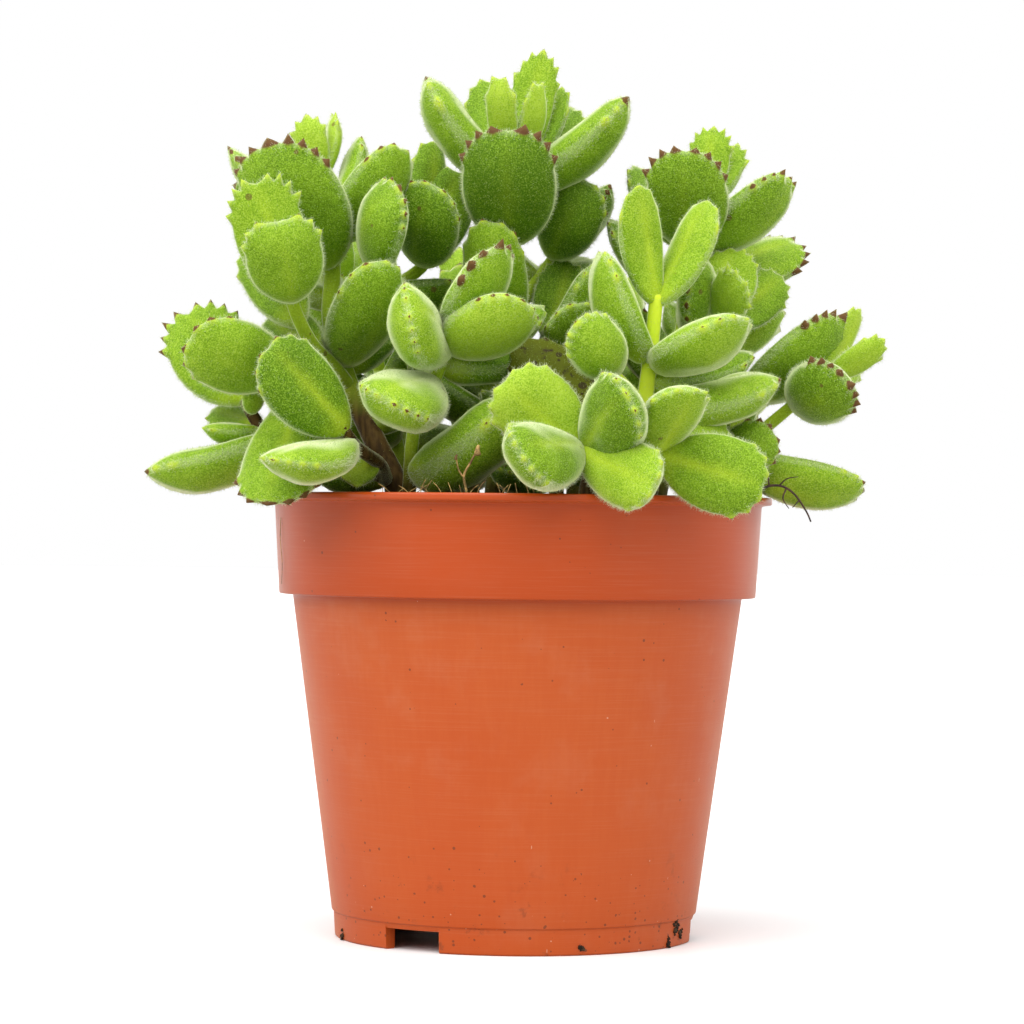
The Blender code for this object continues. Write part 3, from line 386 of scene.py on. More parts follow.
@dataclass(frozen=True)
class Settling:
    """How leaves of different plants are turned clear of each other, in mm and degrees."""

    leaf_gap: float = 0.45
    neighbour_reach: float = 32.0
    turn_step: float = 3.0
    rounds: int = 40
    side_cost: float = 0.10
    depth_cost: float = 0.04
    stem_sides: int = 6
    stem_step: float = 9.0
    root_depth: float = 10.0
    soil_top: float = 87.6
    lip_inside: float = 49.3
    lip_outside: float = 52.5
    lip_top: float = 91.2
    lip_gap: float = 0.5


SETTLING = Settling()


def rear_plant(shoot: RearShoot, chance: random.Random) -> Plant:
    """Grows the pairs of leaves up a rear shoot, each pair across the one below it.

    Args:
        shoot: the stem's ends, the first pair's turn and the count of pairs.
        chance: the seeded draw that varies each leaf a little.

    Returns:
        The plant, as its solid has it.
    """
    root, top = Vector(shoot.root), Vector(shoot.top)
    middle = (root + top) / 2 + Vector((0, 0, REAR_BOW))
    stem = (top - root).normalized()
    across = stem.orthogonal().normalized()
    leaves = []
    for pair in range(shoot.pairs):
        share = pair / (shoot.pairs - 1)
        rise = REAR_FIRST_PAIR + (REAR_LAST_PAIR - REAR_FIRST_PAIR) * share
        base = root.lerp(middle, 2 * rise) if rise <= 0.5 else middle.lerp(top, 2 * rise - 1)
        length = REAR_LOW_LEAF + (REAR_TOP_LEAF - REAR_LOW_LEAF) * share
        spread = REAR_LOW_SPREAD_DEG + (REAR_TOP_SPREAD_DEG - REAR_LOW_SPREAD_DEG) * share
        light, brown = REAR_LOW_LIGHT + REAR_LIGHT_GAIN * share, REAR_LOW_BROWN - REAR_BROWN_LOSS * share
        for side in (0, 180):
            varied = chance.uniform(-REAR_TURN_VARIES_DEG, REAR_TURN_VARIES_DEG)
            turn = shoot.first_turn_deg + 90 * pair + side + varied
            out = Matrix.Rotation(math.radians(turn), 3, stem) @ across
            lean = math.radians(spread + chance.uniform(-REAR_LEAN_VARIES_DEG, REAR_LEAN_VARIES_DEG))
            size = length * chance.uniform(1 - REAR_SIZE_VARIES, 1 + REAR_SIZE_VARIES)
            tip = base + (stem * math.cos(lean) + out * math.sin(lean)) * size
            width, thickness = size * REAR_WIDTH_SHARE, size * REAR_THICKNESS_SHARE
            shape = (tuple(base), tuple(tip), width, thickness, REAR_TEETH, REAR_TOOTH)
            leaves.append(Leaf(*shape, light=light, brown=brown))
    return Plant((Branch((tuple(root), tuple(middle), tuple(top)), *REAR_STEM_RADII),), tuple(leaves))


def all_plants() -> dict[str, Plant]:
    """Every plant by the name of its node, in the order that its solids were settled."""
    chance = random.Random(REAR_SEED)
    plants = {
        "plant_centre_tall": CENTRE_TALL,
        "plant_centre_front": CENTRE_FRONT,
        "plant_left_tall": LEFT_TALL,
        "plant_middle": MIDDLE,
        "plant_right_front": RIGHT_FRONT,
        "plant_right_tall": RIGHT_TALL,
        "plant_right_far": RIGHT_FAR,
        "plant_right_low": RIGHT_LOW,
    }
    for name, shoot in REAR_SHOOTS.items():
        plants[name] = rear_plant(shoot, chance)
    return plants


def smooth_path(points: tuple, step: float) -> tuple[list, list]:
    """Points about a step apart along a Catmull-Rom curve through the given ones.

    Args:
        points: the places that the curve passes through.
        step: the distance to aim for, in the same units.

    Returns:
        The curve's points and its direction at each.
    """
    given = [Vector(point) for point in points]
    ends = [2 * given[0] - given[1]] + given + [2 * given[-1] - given[-2]]
    path = []
    for index in range(1, len(ends) - 2):
        before, start, end, after = ends[index - 1 : index + 3]
        count = max(1, round((end - start).length / step))
        for part in range(count):
            t = part / count
            path.append(
                0.5
                * (
                    2 * start
                    + (end - before) * t
                    + (2 * before - 5 * start + 4 * end - after) * t**2
                    + (3 * start - before - 3 * end + after) * t**3
                )
            )
    path.append(given[-1])
    ways = [(after - before).normalized() for before, after in zip(path[:1] + path, path[1:] + path[-1:])]
    return path, ways


def rooted(branch: Branch) -> tuple:
    """The first branch's points with its root, which goes straight down into the soil."""
    x, y, _ = branch.points[0]
    low = SETTLING.soil_top
    return ((x, y, low - SETTLING.root_depth), (x, y, low - 1)) + branch.points


def plant_paths(plant: Plant) -> list[tuple]:
    """The points of each branch, with the root on the first."""
    return [rooted(branch) if order == 0 else branch.points for order, branch in enumerate(plant.branches)]


def ring_faces(rings: int, sides: int) -> Array:
    """Triangles of a stack of rings of points, which is closed by two more points, one at each end."""
    corner = np.arange(sides)
    following = (corner + 1) % sides
    low = (np.arange(rings - 1) * sides)[:, None]
    quads = np.stack([low + corner, low + following, low + sides + following, low + sides + corner], -1)
    quads = quads.reshape(-1, 4)
    top, first = (rings - 1) * sides, rings * sides
    start = np.stack([np.full(sides, first), following, corner], 1)
    end = np.stack([np.full(sides, first + 1), top + corner, top + following], 1)
    return np.concatenate([quads[:, [0, 1, 2]], quads[:, [0, 2, 3]], start, end])


def tube(
    points: tuple, start_radius: float, end_radius: float, step: float, sides: int
) -> tuple[Array, Array]:
    """A round stem that tapers along a smooth path and has domed ends.

    Each ring is the path's point plus the radius times cos and sin of an even turn round the path.

    Args:
        points: the places that the stem's middle passes through, in mm.
        start_radius: its radius where it starts.
        end_radius: its radius where it ends.
        step: the distance between its rings.
        sides: the count of points in a ring.

    Returns:
        Its points and its triangles.
    """
    path, ways = smooth_path(points, step)
    side = Vector((1, 0, 0)) - ways[0] * ways[0].x
    if side.length < 0.1:
        side = Vector((0, 1, 0))
    sides_at = []
    for way in ways:
        side = (side - way * side.dot(way)).normalized()
        sides_at.append(side.copy())
    middles, ways_at, sides_at = (np.array([tuple(v) for v in group]) for group in (path, ways, sides_at))
    overs = np.cross(ways_at, sides_at)
    share = np.linspace(0, 1, len(path))
    radius = start_radius + (end_radius - start_radius) * share
    turn = math.tau * np.arange(sides) / sides
    ring = np.cos(turn)[None, :, None] * sides_at[:, None] + np.sin(turn)[None, :, None] * overs[:, None]
    skin = middles[:, None] + radius[:, None, None] * ring
    start = middles[0] - ways_at[0] * start_radius * START_DOME
    end = middles[-1] + ways_at[-1] * end_radius * END_DOME
    return np.concatenate([skin.reshape(-1, 3), [start, end]]), ring_faces(len(path), sides)


def coarse_tubes(plant: Plant) -> list[BVHTree]:
    """The stems' solids, as the leaves of other plants were settled against them."""
    trees = []
    for points, branch in zip(plant_paths(plant), plant.branches):
        radii = (branch.start_radius, branch.end_radius)
        skin, faces = tube(points, *radii, SETTLING.stem_step, SETTLING.stem_sides)
        trees.append(BVHTree.FromPolygons(skin.tolist(), faces.tolist()))
    return trees


def stem_way(plant: Plant, base: tuple) -> tuple[Vector, Vector]:
    """The place on the plant's stems nearest to a leaf's base, and the stem's direction there."""
    nearest = None
    for branch in plant.branches:
        path, ways = smooth_path(branch.points, 1.0)
        for middle, way in zip(path, ways):
            gap = (middle - Vector(base)).length
            if nearest is None or gap < nearest[0]:
                nearest = (gap, middle, way)
    return nearest[1], nearest[2]


class PlacedLeaf:
    """A leaf on its stem, with the turns that keep it clear of other plants."""

    def __init__(self, plant_name: str, leaf: Leaf, base: Vector, way: Vector) -> None:
        """Holds the leaf, its plant's name, its base on the stem and the stem's direction."""
        self.plant_name = plant_name
        self.leaf = leaf
        self.base = base
        self.way = way
        self.depth_turn = 0.0
        self.side_turn = 0.0

    def axes(self, depth_turn: float, side_turn: float) -> tuple[float, Vector, Vector, Vector]:
        """The leaf's length, its direction, its upper face's direction and the one across it.

        Args:
            depth_turn: degrees that it swings towards the front or back.
            side_turn: degrees that it swings sideways.

        Returns:
            The length in mm and three unit vectors.
        """
        reach = Vector(self.leaf.tip) - self.base
        along = reach.normalized()
        side_axis = Vector((0, 1, 0)) - along * along.y
        side_axis = side_axis.normalized() if side_axis.length > 0.1 else Vector((0, 0, 1))
        depth_axis = along.cross(side_axis)
        turn = Matrix.Rotation(math.radians(side_turn), 3, side_axis)
        turn = turn @ Matrix.Rotation(math.radians(depth_turn), 3, depth_axis)
        up = Vector(self.leaf.facing or self.way)
        up = (up - along * up.dot(along)).normalized()
        along, up = turn @ along, turn @ up
        return reach.length, along, up, up.cross(along)

    def edge_point(self, length: float, angle: float, tooth: float) -> tuple[float, float]:
        """A point of the blade's edge, along and across it, at an angle round it from its tip."""
        forward = math.cos(angle) >= 0
        reach = 1 - SHAPE.centre if forward else SHAPE.centre
        power = self.leaf.blunt if forward else SHAPE.base_power
        along = length * reach * math.cos(angle)
        across = self.leaf.width / 2 * math.copysign(abs(math.sin(angle)) ** power, math.sin(angle))
        grow = 1 + tooth / math.hypot(along, across)
        return along * grow, across * grow

    def edge_angles(self) -> list[tuple[float, float]]:
        """Angles of the solid's edge points, with the tooth's height at each."""
        leaf = self.leaf
        span = math.radians(SHAPE.teeth_span_deg)
        pitch = 2 * span / (leaf.teeth - 1)
        first = -span - pitch / 2
        angles = [(first + step * pitch / 2, leaf.tooth * (step % 2)) for step in range(2 * leaf.teeth + 1)]
        last = angles[-1][0]
        count = 5 if leaf.width > SHAPE.wide_leaf else 3
        rest = (math.tau + first - last) / (count + 1)
        return angles + [(last + rest * (step + 1), 0.0) for step in range(count)]

    def coarse_tree(self, depth_turn: float, side_turn: float, swell: float) -> BVHTree:
        """The leaf's solid, turned and swollen, ready to be tested for crossings."""
        length, along, up, across = self.axes(depth_turn, side_turn)
        edge = self.edge_angles()
        inner = math.radians(SHAPE.inner_ring_deg)

        def place(x: float, y: float, height: float) -> tuple:
            """A point of the blade in space, from its place on the blade."""
            share = (x + SHAPE.centre * length) / length
            height -= 4 * SHAPE.bend * length * share * (1 - share)
            return tuple(self.base + along * (x + SHAPE.centre * length) + across * y + up * height)

        points = [place(*self.edge_point(length, angle, tooth + swell), 0) for angle, tooth in edge]
        half = self.leaf.thickness / 2 + swell
        for share in (SHAPE.upper_share, -SHAPE.lower_share):
            for angle, _ in edge[::2]:
                x, y = self.edge_point(length, angle, swell)
                rise = math.sin(inner) ** (SHAPE.dome_power + SHAPE.dome_varies * math.cos(angle))
                points.append(place(x * math.cos(inner), y * math.cos(inner), half * share * rise))
            points.append(place(0, 0, half * share))
        return BVHTree.FromPolygons(points, self.coarse_faces(len(edge)))

    @staticmethod
    def coarse_faces(count: int) -> list[tuple]:
        """Triangles of a blade whose edge has an even count of points, half as many in each ring."""
        ring = count // 2
        faces = []
        for start, upper in ((count, True), (count + ring + 1, False)):
            side = []
            for index in range(ring):
                outer, middle, following = 2 * index, 2 * index + 1, (2 * index + 2) % count
                here, there = start + index, start + (index + 1) % ring
                side += [(outer, middle, here), (middle, following, there), (middle, there, here)]
                side.append((here, there, start + ring))
            faces += side if upper else [face[::-1] for face in side]
        return faces


def lip_tree() -> BVHTree:
    """A ring round the pot's lip that leaves keep clear of."""
    gap = SETTLING.lip_gap
    inner, outer = SETTLING.lip_inside - gap, SETTLING.lip_outside + gap
    top, foot = SETTLING.lip_top + gap, SETTLING.soil_top - 6
    profile = [(inner, foot), (outer, foot), (outer, top), (inner, top)]
    points, faces, sides = [], [], 36
    for side in range(sides):
        angle = math.tau * side / sides
        points += [(r * math.cos(angle), r * math.sin(angle), z) for r, z in profile]
    for side in range(sides):
        here, there = side * 4, (side + 1) % sides * 4
        for index in range(4):
            following = (index + 1) % 4
            faces.append((here + index, here + following, there + following, there + index))
    return BVHTree.FromPolygons(points, faces)


def settle(plants: dict[str, Plant], placed: list[PlacedLeaf]) -> None:
    """Turns leaves about their bases until those of different plants clear each other.

    The same rule and the same order settled the solids, so each leaf lands on its own solid.

    Args:
        plants: every plant by name.
        placed: every leaf on its stem, whose turns this sets.
    """
    stems = [(name, tree) for name, plant in plants.items() for tree in coarse_tubes(plant)]
    lip = lip_tree()
    swell = SETTLING.leaf_gap / 2
    trees = [item.coarse_tree(0.0, 0.0, swell) for item in placed]
    middles = [(Vector(item.base) + Vector(item.leaf.tip)) / 2 for item in placed]

    def crossings(index: int, tree: BVHTree) -> int:
        """How many pairs of triangles cross between a leaf and what it should clear."""
        item = placed[index]
        total = len(tree.overlap(lip))
        total += sum(len(tree.overlap(stem)) for name, stem in stems if name != item.plant_name)
        for other, neighbour in enumerate(placed):
            near = (middles[other] - middles[index]).length <= SETTLING.neighbour_reach
            if near and neighbour.plant_name != item.plant_name:
                total += len(tree.overlap(trees[other]))
        return total

    for _ in range(SETTLING.rounds):
        moved = False
        for index, item in enumerate(placed):
            if crossings(index, trees[index]) == 0:
                continue
            choices = []
            for depth_step in (-2, -1, 0, 1, 2):
                for side_step in (-1, 0, 1):
                    depth = item.depth_turn + depth_step * SETTLING.turn_step
                    side = item.side_turn + side_step * SETTLING.turn_step
                    tree = item.coarse_tree(depth, side, swell)
                    cost = crossings(index, tree)
                    cost += SETTLING.depth_cost * abs(depth) + SETTLING.side_cost * abs(side)
                    choices.append((cost, depth, side, tree))
            best = min(choices, key=lambda choice: choice[:3])
            moved |= (best[1], best[2]) != (item.depth_turn, item.side_turn)
            item.depth_turn, item.side_turn, trees[index] = best[1:]
        if not moved:
            break


def new_piece(name: str, points: Array, triangles: Array, values: dict[str, Array] | None = None) -> Piece:
    """A smooth mesh object from arrays.

    Args:
        name: the piece's name.
        points: its points in mm.
        triangles: three point numbers a row.
        values: a number a point, by attribute name.

    Returns:
        The object, at the origin.
    """
    mesh = bpy.data.meshes.new(name)
    mesh.vertices.add(len(points))
    mesh.vertices.foreach_set("co", (points * MM).astype(np.float32).ravel())
    mesh.loops.add(triangles.size)
    mesh.loops.foreach_set("vertex_index", triangles.astype(np.int32).ravel())
    mesh.polygons.add(len(triangles))
    mesh.polygons.foreach_set("loop_start", np.arange(0, triangles.size, 3, dtype=np.int32))
    mesh.update(calc_edges=True)
    for key, value in (values or {}).items():
        attribute = mesh.attributes.new(key, "FLOAT", "POINT")
        attribute.data.foreach_set("value", value.astype(np.float32))
    mesh.shade_smooth()
    obj = bpy.data.objects.new(name, mesh)
    bpy.context.scene.collection.objects.link(obj)
    return obj


class Shape:
    """Points, triangles and per-point values that grow as parts are joined into one piece."""

    def __init__(self) -> None:
        """Starts with nothing."""
        self.points: list[Array] = []
        self.triangles: list[Array] = []
        self.values: dict[str, list[Array]] = {}
        self.count = 0

    def add(self, points: Array, triangles: Array, **values: Array | float) -> None:
        """Joins a part on, with its values, each an array or one number for all its points."""
        self.points.append(points)
        self.triangles.append(triangles + self.count)
        for key, value in values.items():
            self.values.setdefault(key, []).append(np.broadcast_to(np.asarray(value, float), len(points)))
        self.count += len(points)

    def add_tube(self, path: tuple, start_radius: float, end_radius: float, step: float, sides: int) -> None:
        """Joins a tapering round stem on."""
        self.add(*tube(path, start_radius, end_radius, step, sides))

    def arrays(self) -> tuple[Array, Array, dict[str, Array]]:
        """All of it as whole arrays."""
        values = {key: np.concatenate(parts) for key, parts in self.values.items()}
        return np.concatenate(self.points), np.concatenate(self.triangles), values

    def piece(self, name: str, finish: Material | None = None) -> Piece:
        """All of it as one piece, with its material."""
        made = new_piece(name, *self.arrays())
        if finish:
            made.data.materials.append(finish)
        return made


class Detail(Enum):
    """How finely a leaf is made: columns to a tooth, columns round the rest, and rows on a face."""

    FRONT = (6, 18, 6)
    REAR = (4, 14, 5)


@dataclass(frozen=True)
class LeafSurface:
    """The fine surface of a leaf, over the angle round it and the rise from edge to middle."""

    tooth_scale: float = 1.45
    tooth_sizes: tuple = (0.7, 1.2)
    tooth_power: float = 1.25
    tooth_depth: float = 0.20
    brown_fade: float = 4.0
    brown_power: float = 0.6
    brown_depth: float = 0.17
    rim_depth: float = 0.32
    row_power: float = 1.35
    swell: tuple = (0.012, 0.008)
    ripple: float = 0.16
    ripple_turns: tuple = (0.45, 0.6, 0.3)
    groove_depth: float = 0.32
    groove_width: float = 1.1
    groove_end: float = 1.25
    rib_below: float = 0.35

    def columns(self, leaf: Leaf, detail: Detail) -> Array:
        """Angles round the blade, closer together where the teeth are."""
        per_tooth, rest, _ = detail.value
        span = math.radians(SHAPE.teeth_span_deg)
        pitch = 2 * span / (leaf.teeth - 1)
        start, end = -span - pitch / 2, span + pitch / 2
        toothed = np.linspace(start, end, leaf.teeth * per_tooth, endpoint=False)
        plain = np.linspace(end, math.tau + start, rest, endpoint=False)
        return np.concatenate([toothed, plain])

    def teeth(self, leaf: Leaf, angle: Array, chance: Draw) -> Array:
        """How far up a tooth each angle is: about 1 at its point, falling to 0 halfway to the next."""
        span = math.radians(SHAPE.teeth_span_deg)
        pitch = 2 * span / (leaf.teeth - 1)
        turn = (angle + math.pi) % math.tau - math.pi
        place = (turn + span) / pitch
        nearest = np.clip(np.round(place), 0, leaf.teeth - 1)
        size = chance.uniform(*self.tooth_sizes, leaf.teeth)[nearest.astype(int)]
        return size * np.clip(1 - 2 * np.abs(place - nearest), 0, 1) ** self.tooth_power

    def build(self, item: PlacedLeaf, detail: Detail, chance: Draw) -> tuple[Array, Array, dict]:
        """Makes the blade.

        Its edge is the solid's: cos along it and a power of sin across it, with a tooth added outwards.
        A face point is the edge times cos of the rise, and as high as a power of sin of the rise. Both
        faces bend down along a parabola, ripple a little, and the upper one has a groove down its middle.

        Args:
            item: the leaf on its stem.
            detail: how fine to make it.
            chance: the seeded draw for its ripples.

        Returns:
            Points in mm, triangles and the values that colour it.
        """
        leaf = item.leaf
        length, along, up, across = item.axes(item.depth_turn, item.side_turn)
        angle = self.columns(leaf, detail)
        rows = detail.value[2]
        rise = (math.pi / 2) * (np.arange(rows) / rows) ** self.row_power
        tooth = self.teeth(leaf, angle, chance)
        apart = np.abs((angle + math.pi) % math.tau - math.pi) / math.radians(SHAPE.teeth_span_deg)
        brown = leaf.brown * np.clip(self.brown_fade * (leaf.brown_reach - apart) + 1, 0, 1)
        cos, sin = np.cos(angle), np.sin(angle)
        forward = cos >= 0
        x_edge = length * np.where(forward, 1 - SHAPE.centre, SHAPE.centre) * cos
        bluntness = np.where(forward, leaf.blunt, SHAPE.base_power)
        y_edge = leaf.width / 2 * np.sign(sin) * np.abs(sin) ** bluntness
        reach = np.hypot(x_edge, y_edge)
        phase = chance.uniform(0, math.tau, 4)
        wave = self.swell[0] * np.sin(2 * angle + phase[0]) + self.swell[1] * np.sin(3 * angle + phase[1])
        bump = self.tooth_scale * leaf.tooth * tooth * np.exp(-((rise[:, None] / self.tooth_depth) ** 2))
        grow = 1 + wave * np.sin(2 * rise)[:, None] + bump / reach
        power = SHAPE.dome_power + SHAPE.dome_varies * cos
        lengthwise, crosswise, slant = self.ripple_turns
        points, values = [], {"tooth": [], "brown": [], "edge": [], "rib": [], "along": []}
        for share, skip in ((SHAPE.upper_share, 0), (-SHAPE.lower_share, 1)):
            x = np.append((x_edge * grow * np.cos(rise)[:, None])[skip:].ravel(), 0)
            y = np.append((y_edge * grow * np.cos(rise)[:, None])[skip:].ravel(), 0)
            high = np.append((np.sin(rise)[:, None] ** power)[skip:].ravel(), 1)
            place = (x + SHAPE.centre * length) / length
            folds = np.sin(lengthwise * x + phase[2]) + np.sin(crosswise * y - slant * x + phase[3])
            ripple = self.ripple * high * folds
            height = leaf.thickness / 2 * share * high + np.sign(share) * ripple
            groove = np.exp(-((y / self.groove_width) ** 2)) * high * np.clip(self.groove_end - place, 0, 1)
            if share > 0:
                height = height - self.groove_depth * groove
            height = height - 4 * SHAPE.bend * length * place * (1 - place)
            points.append(
                np.array(item.base)
                + np.outer(x + SHAPE.centre * length, along)
                + np.outer(y, across)
                + np.outer(height, up)
            )
            fade = np.exp(-((rise[skip:, None] / self.brown_depth) ** 2))
            values["tooth"].append(np.append((fade * tooth**self.brown_power).ravel(), 0))
            values["brown"].append(np.append((brown * np.ones((rows - skip, 1))).ravel(), 0))
            near = np.exp(-((rise[skip:, None] / self.rim_depth) ** 2)) * np.ones(len(angle))
            values["edge"].append(np.append(near.ravel(), 0))
            values["rib"].append(groove * (1.0 if share > 0 else self.rib_below))
            values["along"].append(np.clip(place, 0, 1))
        triangles = self.faces(len(angle), rows)
        joined = {key: np.concatenate(parts) for key, parts in values.items()}
        return np.concatenate(points), triangles, joined

    def faces(self, columns: int, rows: int) -> Array:
        """Triangles of both faces, which share the ring of points along the edge."""
        column = np.arange(columns)
        following = (column + 1) % columns
        sets = []
        upper_pole = rows * columns
        lower_start = upper_pole + 1
        for row in range(rows - 1):
            low, high = row * columns, (row + 1) * columns
            sets.append(np.stack([low + column, low + following, high + following], 1))
            sets.append(np.stack([low + column, high + following, high + column], 1))
        top = (rows - 1) * columns
        sets.append(np.stack([top + column, top + following, np.full(columns, upper_pole)], 1))
        starts = [0] + [lower_start + row * columns for row in range(rows - 1)]
        for low, high in zip(starts[:-1], starts[1:]):
            sets.append(np.stack([low + following, low + column, high + following], 1))
            sets.append(np.stack([low + column, high + column, high + following], 1))
        pole = lower_start + (rows - 1) * columns
        sets.append(np.stack([starts[-1] + following, starts[-1] + column, np.full(columns, pole)], 1))
        return np.concatenate(sets)


@dataclass(frozen=True)
class HairCoat:
    """Short white hairs over a plant: three-sided spikes that stand on its surface."""

    per_square_mm: float = 2.4
    length: float = 0.52
    edge_length: float = 0.40
    edge_share: float = 3.5
    root_radius: float = 0.036
    spread: float = 0.45
    sweep: float = 0.2
    bark_bare: float = 0.9
    tooth_bare: float = 1.5
    least_on_tooth: float = 0.1
    least_rise: float = 0.25
    sunk: float = 0.05
    lengths: tuple = (0.55, 1.25)
    least_inside: float = 0.35
    clump_middle: tuple = (0, 5, 108)
    clump_radius: float = 42.0
    most_triangles: int = 190_000

    def grow(
        self, points: Array, triangles: Array, values: dict[str, Array], share: float, chance: Draw
    ) -> tuple[Array, Array, dict[str, Array]]:
        """Grows hairs at random over the triangles, more of them by area and along the leaves' edges.

        A hair's foot is a random mix of its triangle's corners. Its direction is the surface's own
        there plus a random lean, and its point lies one length away.

        Args:
            points: the surface's points in mm.
            triangles: the surface's triangles.
            values: its values, of which edge, tooth, brown and wood are used.
            share: how many hairs it has, as a share of a full coat.
            chance: the seeded draw.

        Returns:
            Points and triangles of all the hairs, and how near to an edge each point stands.
        """
        a, b, c = (points[triangles[:, corner]] for corner in range(3))
        cross = np.cross(b - a, c - a)
        area = np.linalg.norm(cross, axis=1) / 2
        sums = [[np.bincount(corner, part, len(points)) for corner in triangles.T] for part in cross.T]
        normals = np.stack([first + second + third for first, second, third in sums], 1)
        normals /= np.linalg.norm(normals, axis=1, keepdims=True) + 1e-12
        edge = values["edge"][triangles].mean(1) ** 2
        bare = values["wood"][triangles].mean(1)
        outward = np.linalg.norm((a + b + c) / 3 - np.array(self.clump_middle), axis=1) / self.clump_radius
        brown = (values["tooth"] * values["brown"])[triangles].mean(1)
        weight = area * (1 + self.edge_share * edge) * (1 - self.bark_bare * bare)
        weight *= np.clip(1 - self.tooth_bare * brown, self.least_on_tooth, 1)
        weight *= np.clip(outward, self.least_inside, 1)
        count = min(int(area.sum() * self.per_square_mm * share), self.most_triangles // 4)
        pick = chance.choice(len(triangles), count, p=weight / weight.sum())
        first, second = np.sqrt(chance.random(count)), chance.random(count)
        mix = np.stack([1 - first, first * (1 - second), first * second], 1)[:, :, None]
        corners = triangles[pick]
        foot = (points[corners] * mix).sum(1)
        normal = (normals[corners] * mix).sum(1)
        lean = chance.normal(0, self.spread, (count, 3))
        way = normal + lean + np.array([0, 0, self.sweep]) * chance.random((count, 1))
        way -= normal * np.minimum((way * normal).sum(1, keepdims=True) - self.least_rise, 0)
        way /= np.linalg.norm(way, axis=1, keepdims=True)
        length = (self.length + self.edge_length * edge[pick]) * chance.uniform(*self.lengths, count)
        side = np.cross(way, chance.normal(0, 1, (count, 3)))
        side /= np.linalg.norm(side, axis=1, keepdims=True) + 1e-12
        over = np.cross(way, side)
        skin = [foot + way * length[:, None]]
        for corner in range(3):
            turn = math.tau * corner / 3
            ring = math.cos(turn) * side + math.sin(turn) * over
            skin.append(foot - self.sunk * way + self.root_radius * ring)
        start = 4 * np.arange(count)[:, None]
        faces = np.array([[1, 2, 0], [2, 3, 0], [3, 1, 0], [1, 3, 2]])
        rim = {"rim": np.repeat(edge[pick], 4)}
        return np.stack(skin, 1).reshape(-1, 3), (start[:, None] + faces).reshape(-1, 3), rim


class Wiring:
    """A material's or a group's nodes, made and linked in short calls."""

    def __init__(self, tree: bpy.types.NodeTree) -> None:
        """Holds the node tree."""
        self.tree = tree

    def node(self, kind: str, settings: dict | None = None, **inputs: object) -> bpy.types.Node:
        """Adds a node.

        Args:
            kind: the node's type, without its ShaderNode prefix.
            settings: properties of the node.
            inputs: a value or an output for each input, by its name with _ for a space, or iN by number.

        Returns:
            The node.
        """
        made = self.tree.nodes.new("ShaderNode" + kind)
        for key, value in (settings or {}).items():
            setattr(made, key, value)
        self.fill(made, **inputs)
        return made

    def fill(self, made: bpy.types.Node, **inputs: object) -> None:
        """Gives a node's inputs a value or an output each, by the same names as in node."""
        for key, value in inputs.items():
            by_number = key[0] == "i" and key[1:].isdigit()
            socket = made.inputs[int(key[1:]) if by_number else key.replace("_", " ")]
            if isinstance(value, Socket):
                self.tree.links.new(value, socket)
            else:
                socket.default_value = value

    def math(self, operation: str, first: object, second: object) -> Socket:
        """A sum of two numbers or outputs, by its operation's name."""
        return self.node("Math", {"operation": operation}, i0=first, i1=second).outputs[0]

    def times(self, first: object, second: object) -> Socket:
        """One number times another."""
        return self.math("MULTIPLY", first, second)

    def swing(self, value: object, size: float) -> Socket:
        """A number from 0 to 1 turned into one about 0, of the given whole size."""
        return self.times(self.math("SUBTRACT", value, 0.5), size)

    def mix(self, factor: object, first: object, second: object) -> Socket:
        """A mix of two colours, each an output or three numbers."""
        first, second = ((*color, 1) if isinstance(color, tuple) else color for color in (first, second))
        return self.node("Mix", {"data_type": "RGBA"}, i0=factor, i6=first, i7=second).outputs[2]

    def span(self, value: object, low: float, high: float, start: float = 0.0, end: float = 1.0) -> Socket:
        """A number taken from one range to another, held within it, with soft ends."""
        soft = {"interpolation_type": "SMOOTHSTEP"}
        return self.node("MapRange", soft, i0=value, i1=low, i2=high, i3=start, i4=end).outputs[0]

    def noise(self, place: object, scale: float, detail: float = 3.0, roughness: float = 0.5) -> Socket:
        """A noise of about even brightness, from 0 to 1."""
        made = self.node("TexNoise", Vector=place, Scale=scale, Detail=detail, Roughness=roughness)
        return made.outputs["Fac"]

    def stretched(self, place: object, rise: float) -> Socket:
        """A place with its height scaled, for a pattern that runs up a surface or round it."""
        return self.node("Mapping", Vector=place, Scale=(1.0, 1.0, rise)).outputs[0]

    def bump(self, height: object, strength: float, distance: float) -> Socket:
        """A surface's direction, tilted by the slope of a height."""
        return self.node("Bump", Height=height, Strength=strength, Distance=distance).outputs[0]

    def place(self) -> Socket:
        """The point's place on the object."""
        return self.node("TexCoord").outputs["Object"]

    def group(self, tree: bpy.types.NodeTree, place: object, **inputs: object) -> Socket:
        """Places a group on a pattern's place, with its own values, and gives its output."""
        return self.node("Group", {"node_tree": tree}, Vector=place, **inputs).outputs[0]

    def value(self, name: str) -> Socket:
        """A number that the mesh holds at each point."""
        return self.node("Attribute", {"attribute_name": name}).outputs["Fac"]

    def ramp(self, factor: object, stops: tuple) -> Socket:
        """A colour for each number, from (place, colour) stops."""
        node = self.node("ValToRGB", Fac=factor)
        elements = node.color_ramp.elements
        while len(elements) < len(stops):
            elements.new(0.5)
        for element, (position, color) in zip(elements, stops):
            element.position = position
            element.color = (*color, 1)
        return node.outputs["Color"]


def new_material(name: str) -> tuple[Material, Wiring, bpy.types.Node]:
    """A material with its Principled shader, and the wiring to add to it."""
    made = bpy.data.materials.new(name)
    made.use_nodes = True
    return made, Wiring(made.node_tree), made.node_tree.nodes["Principled BSDF"]


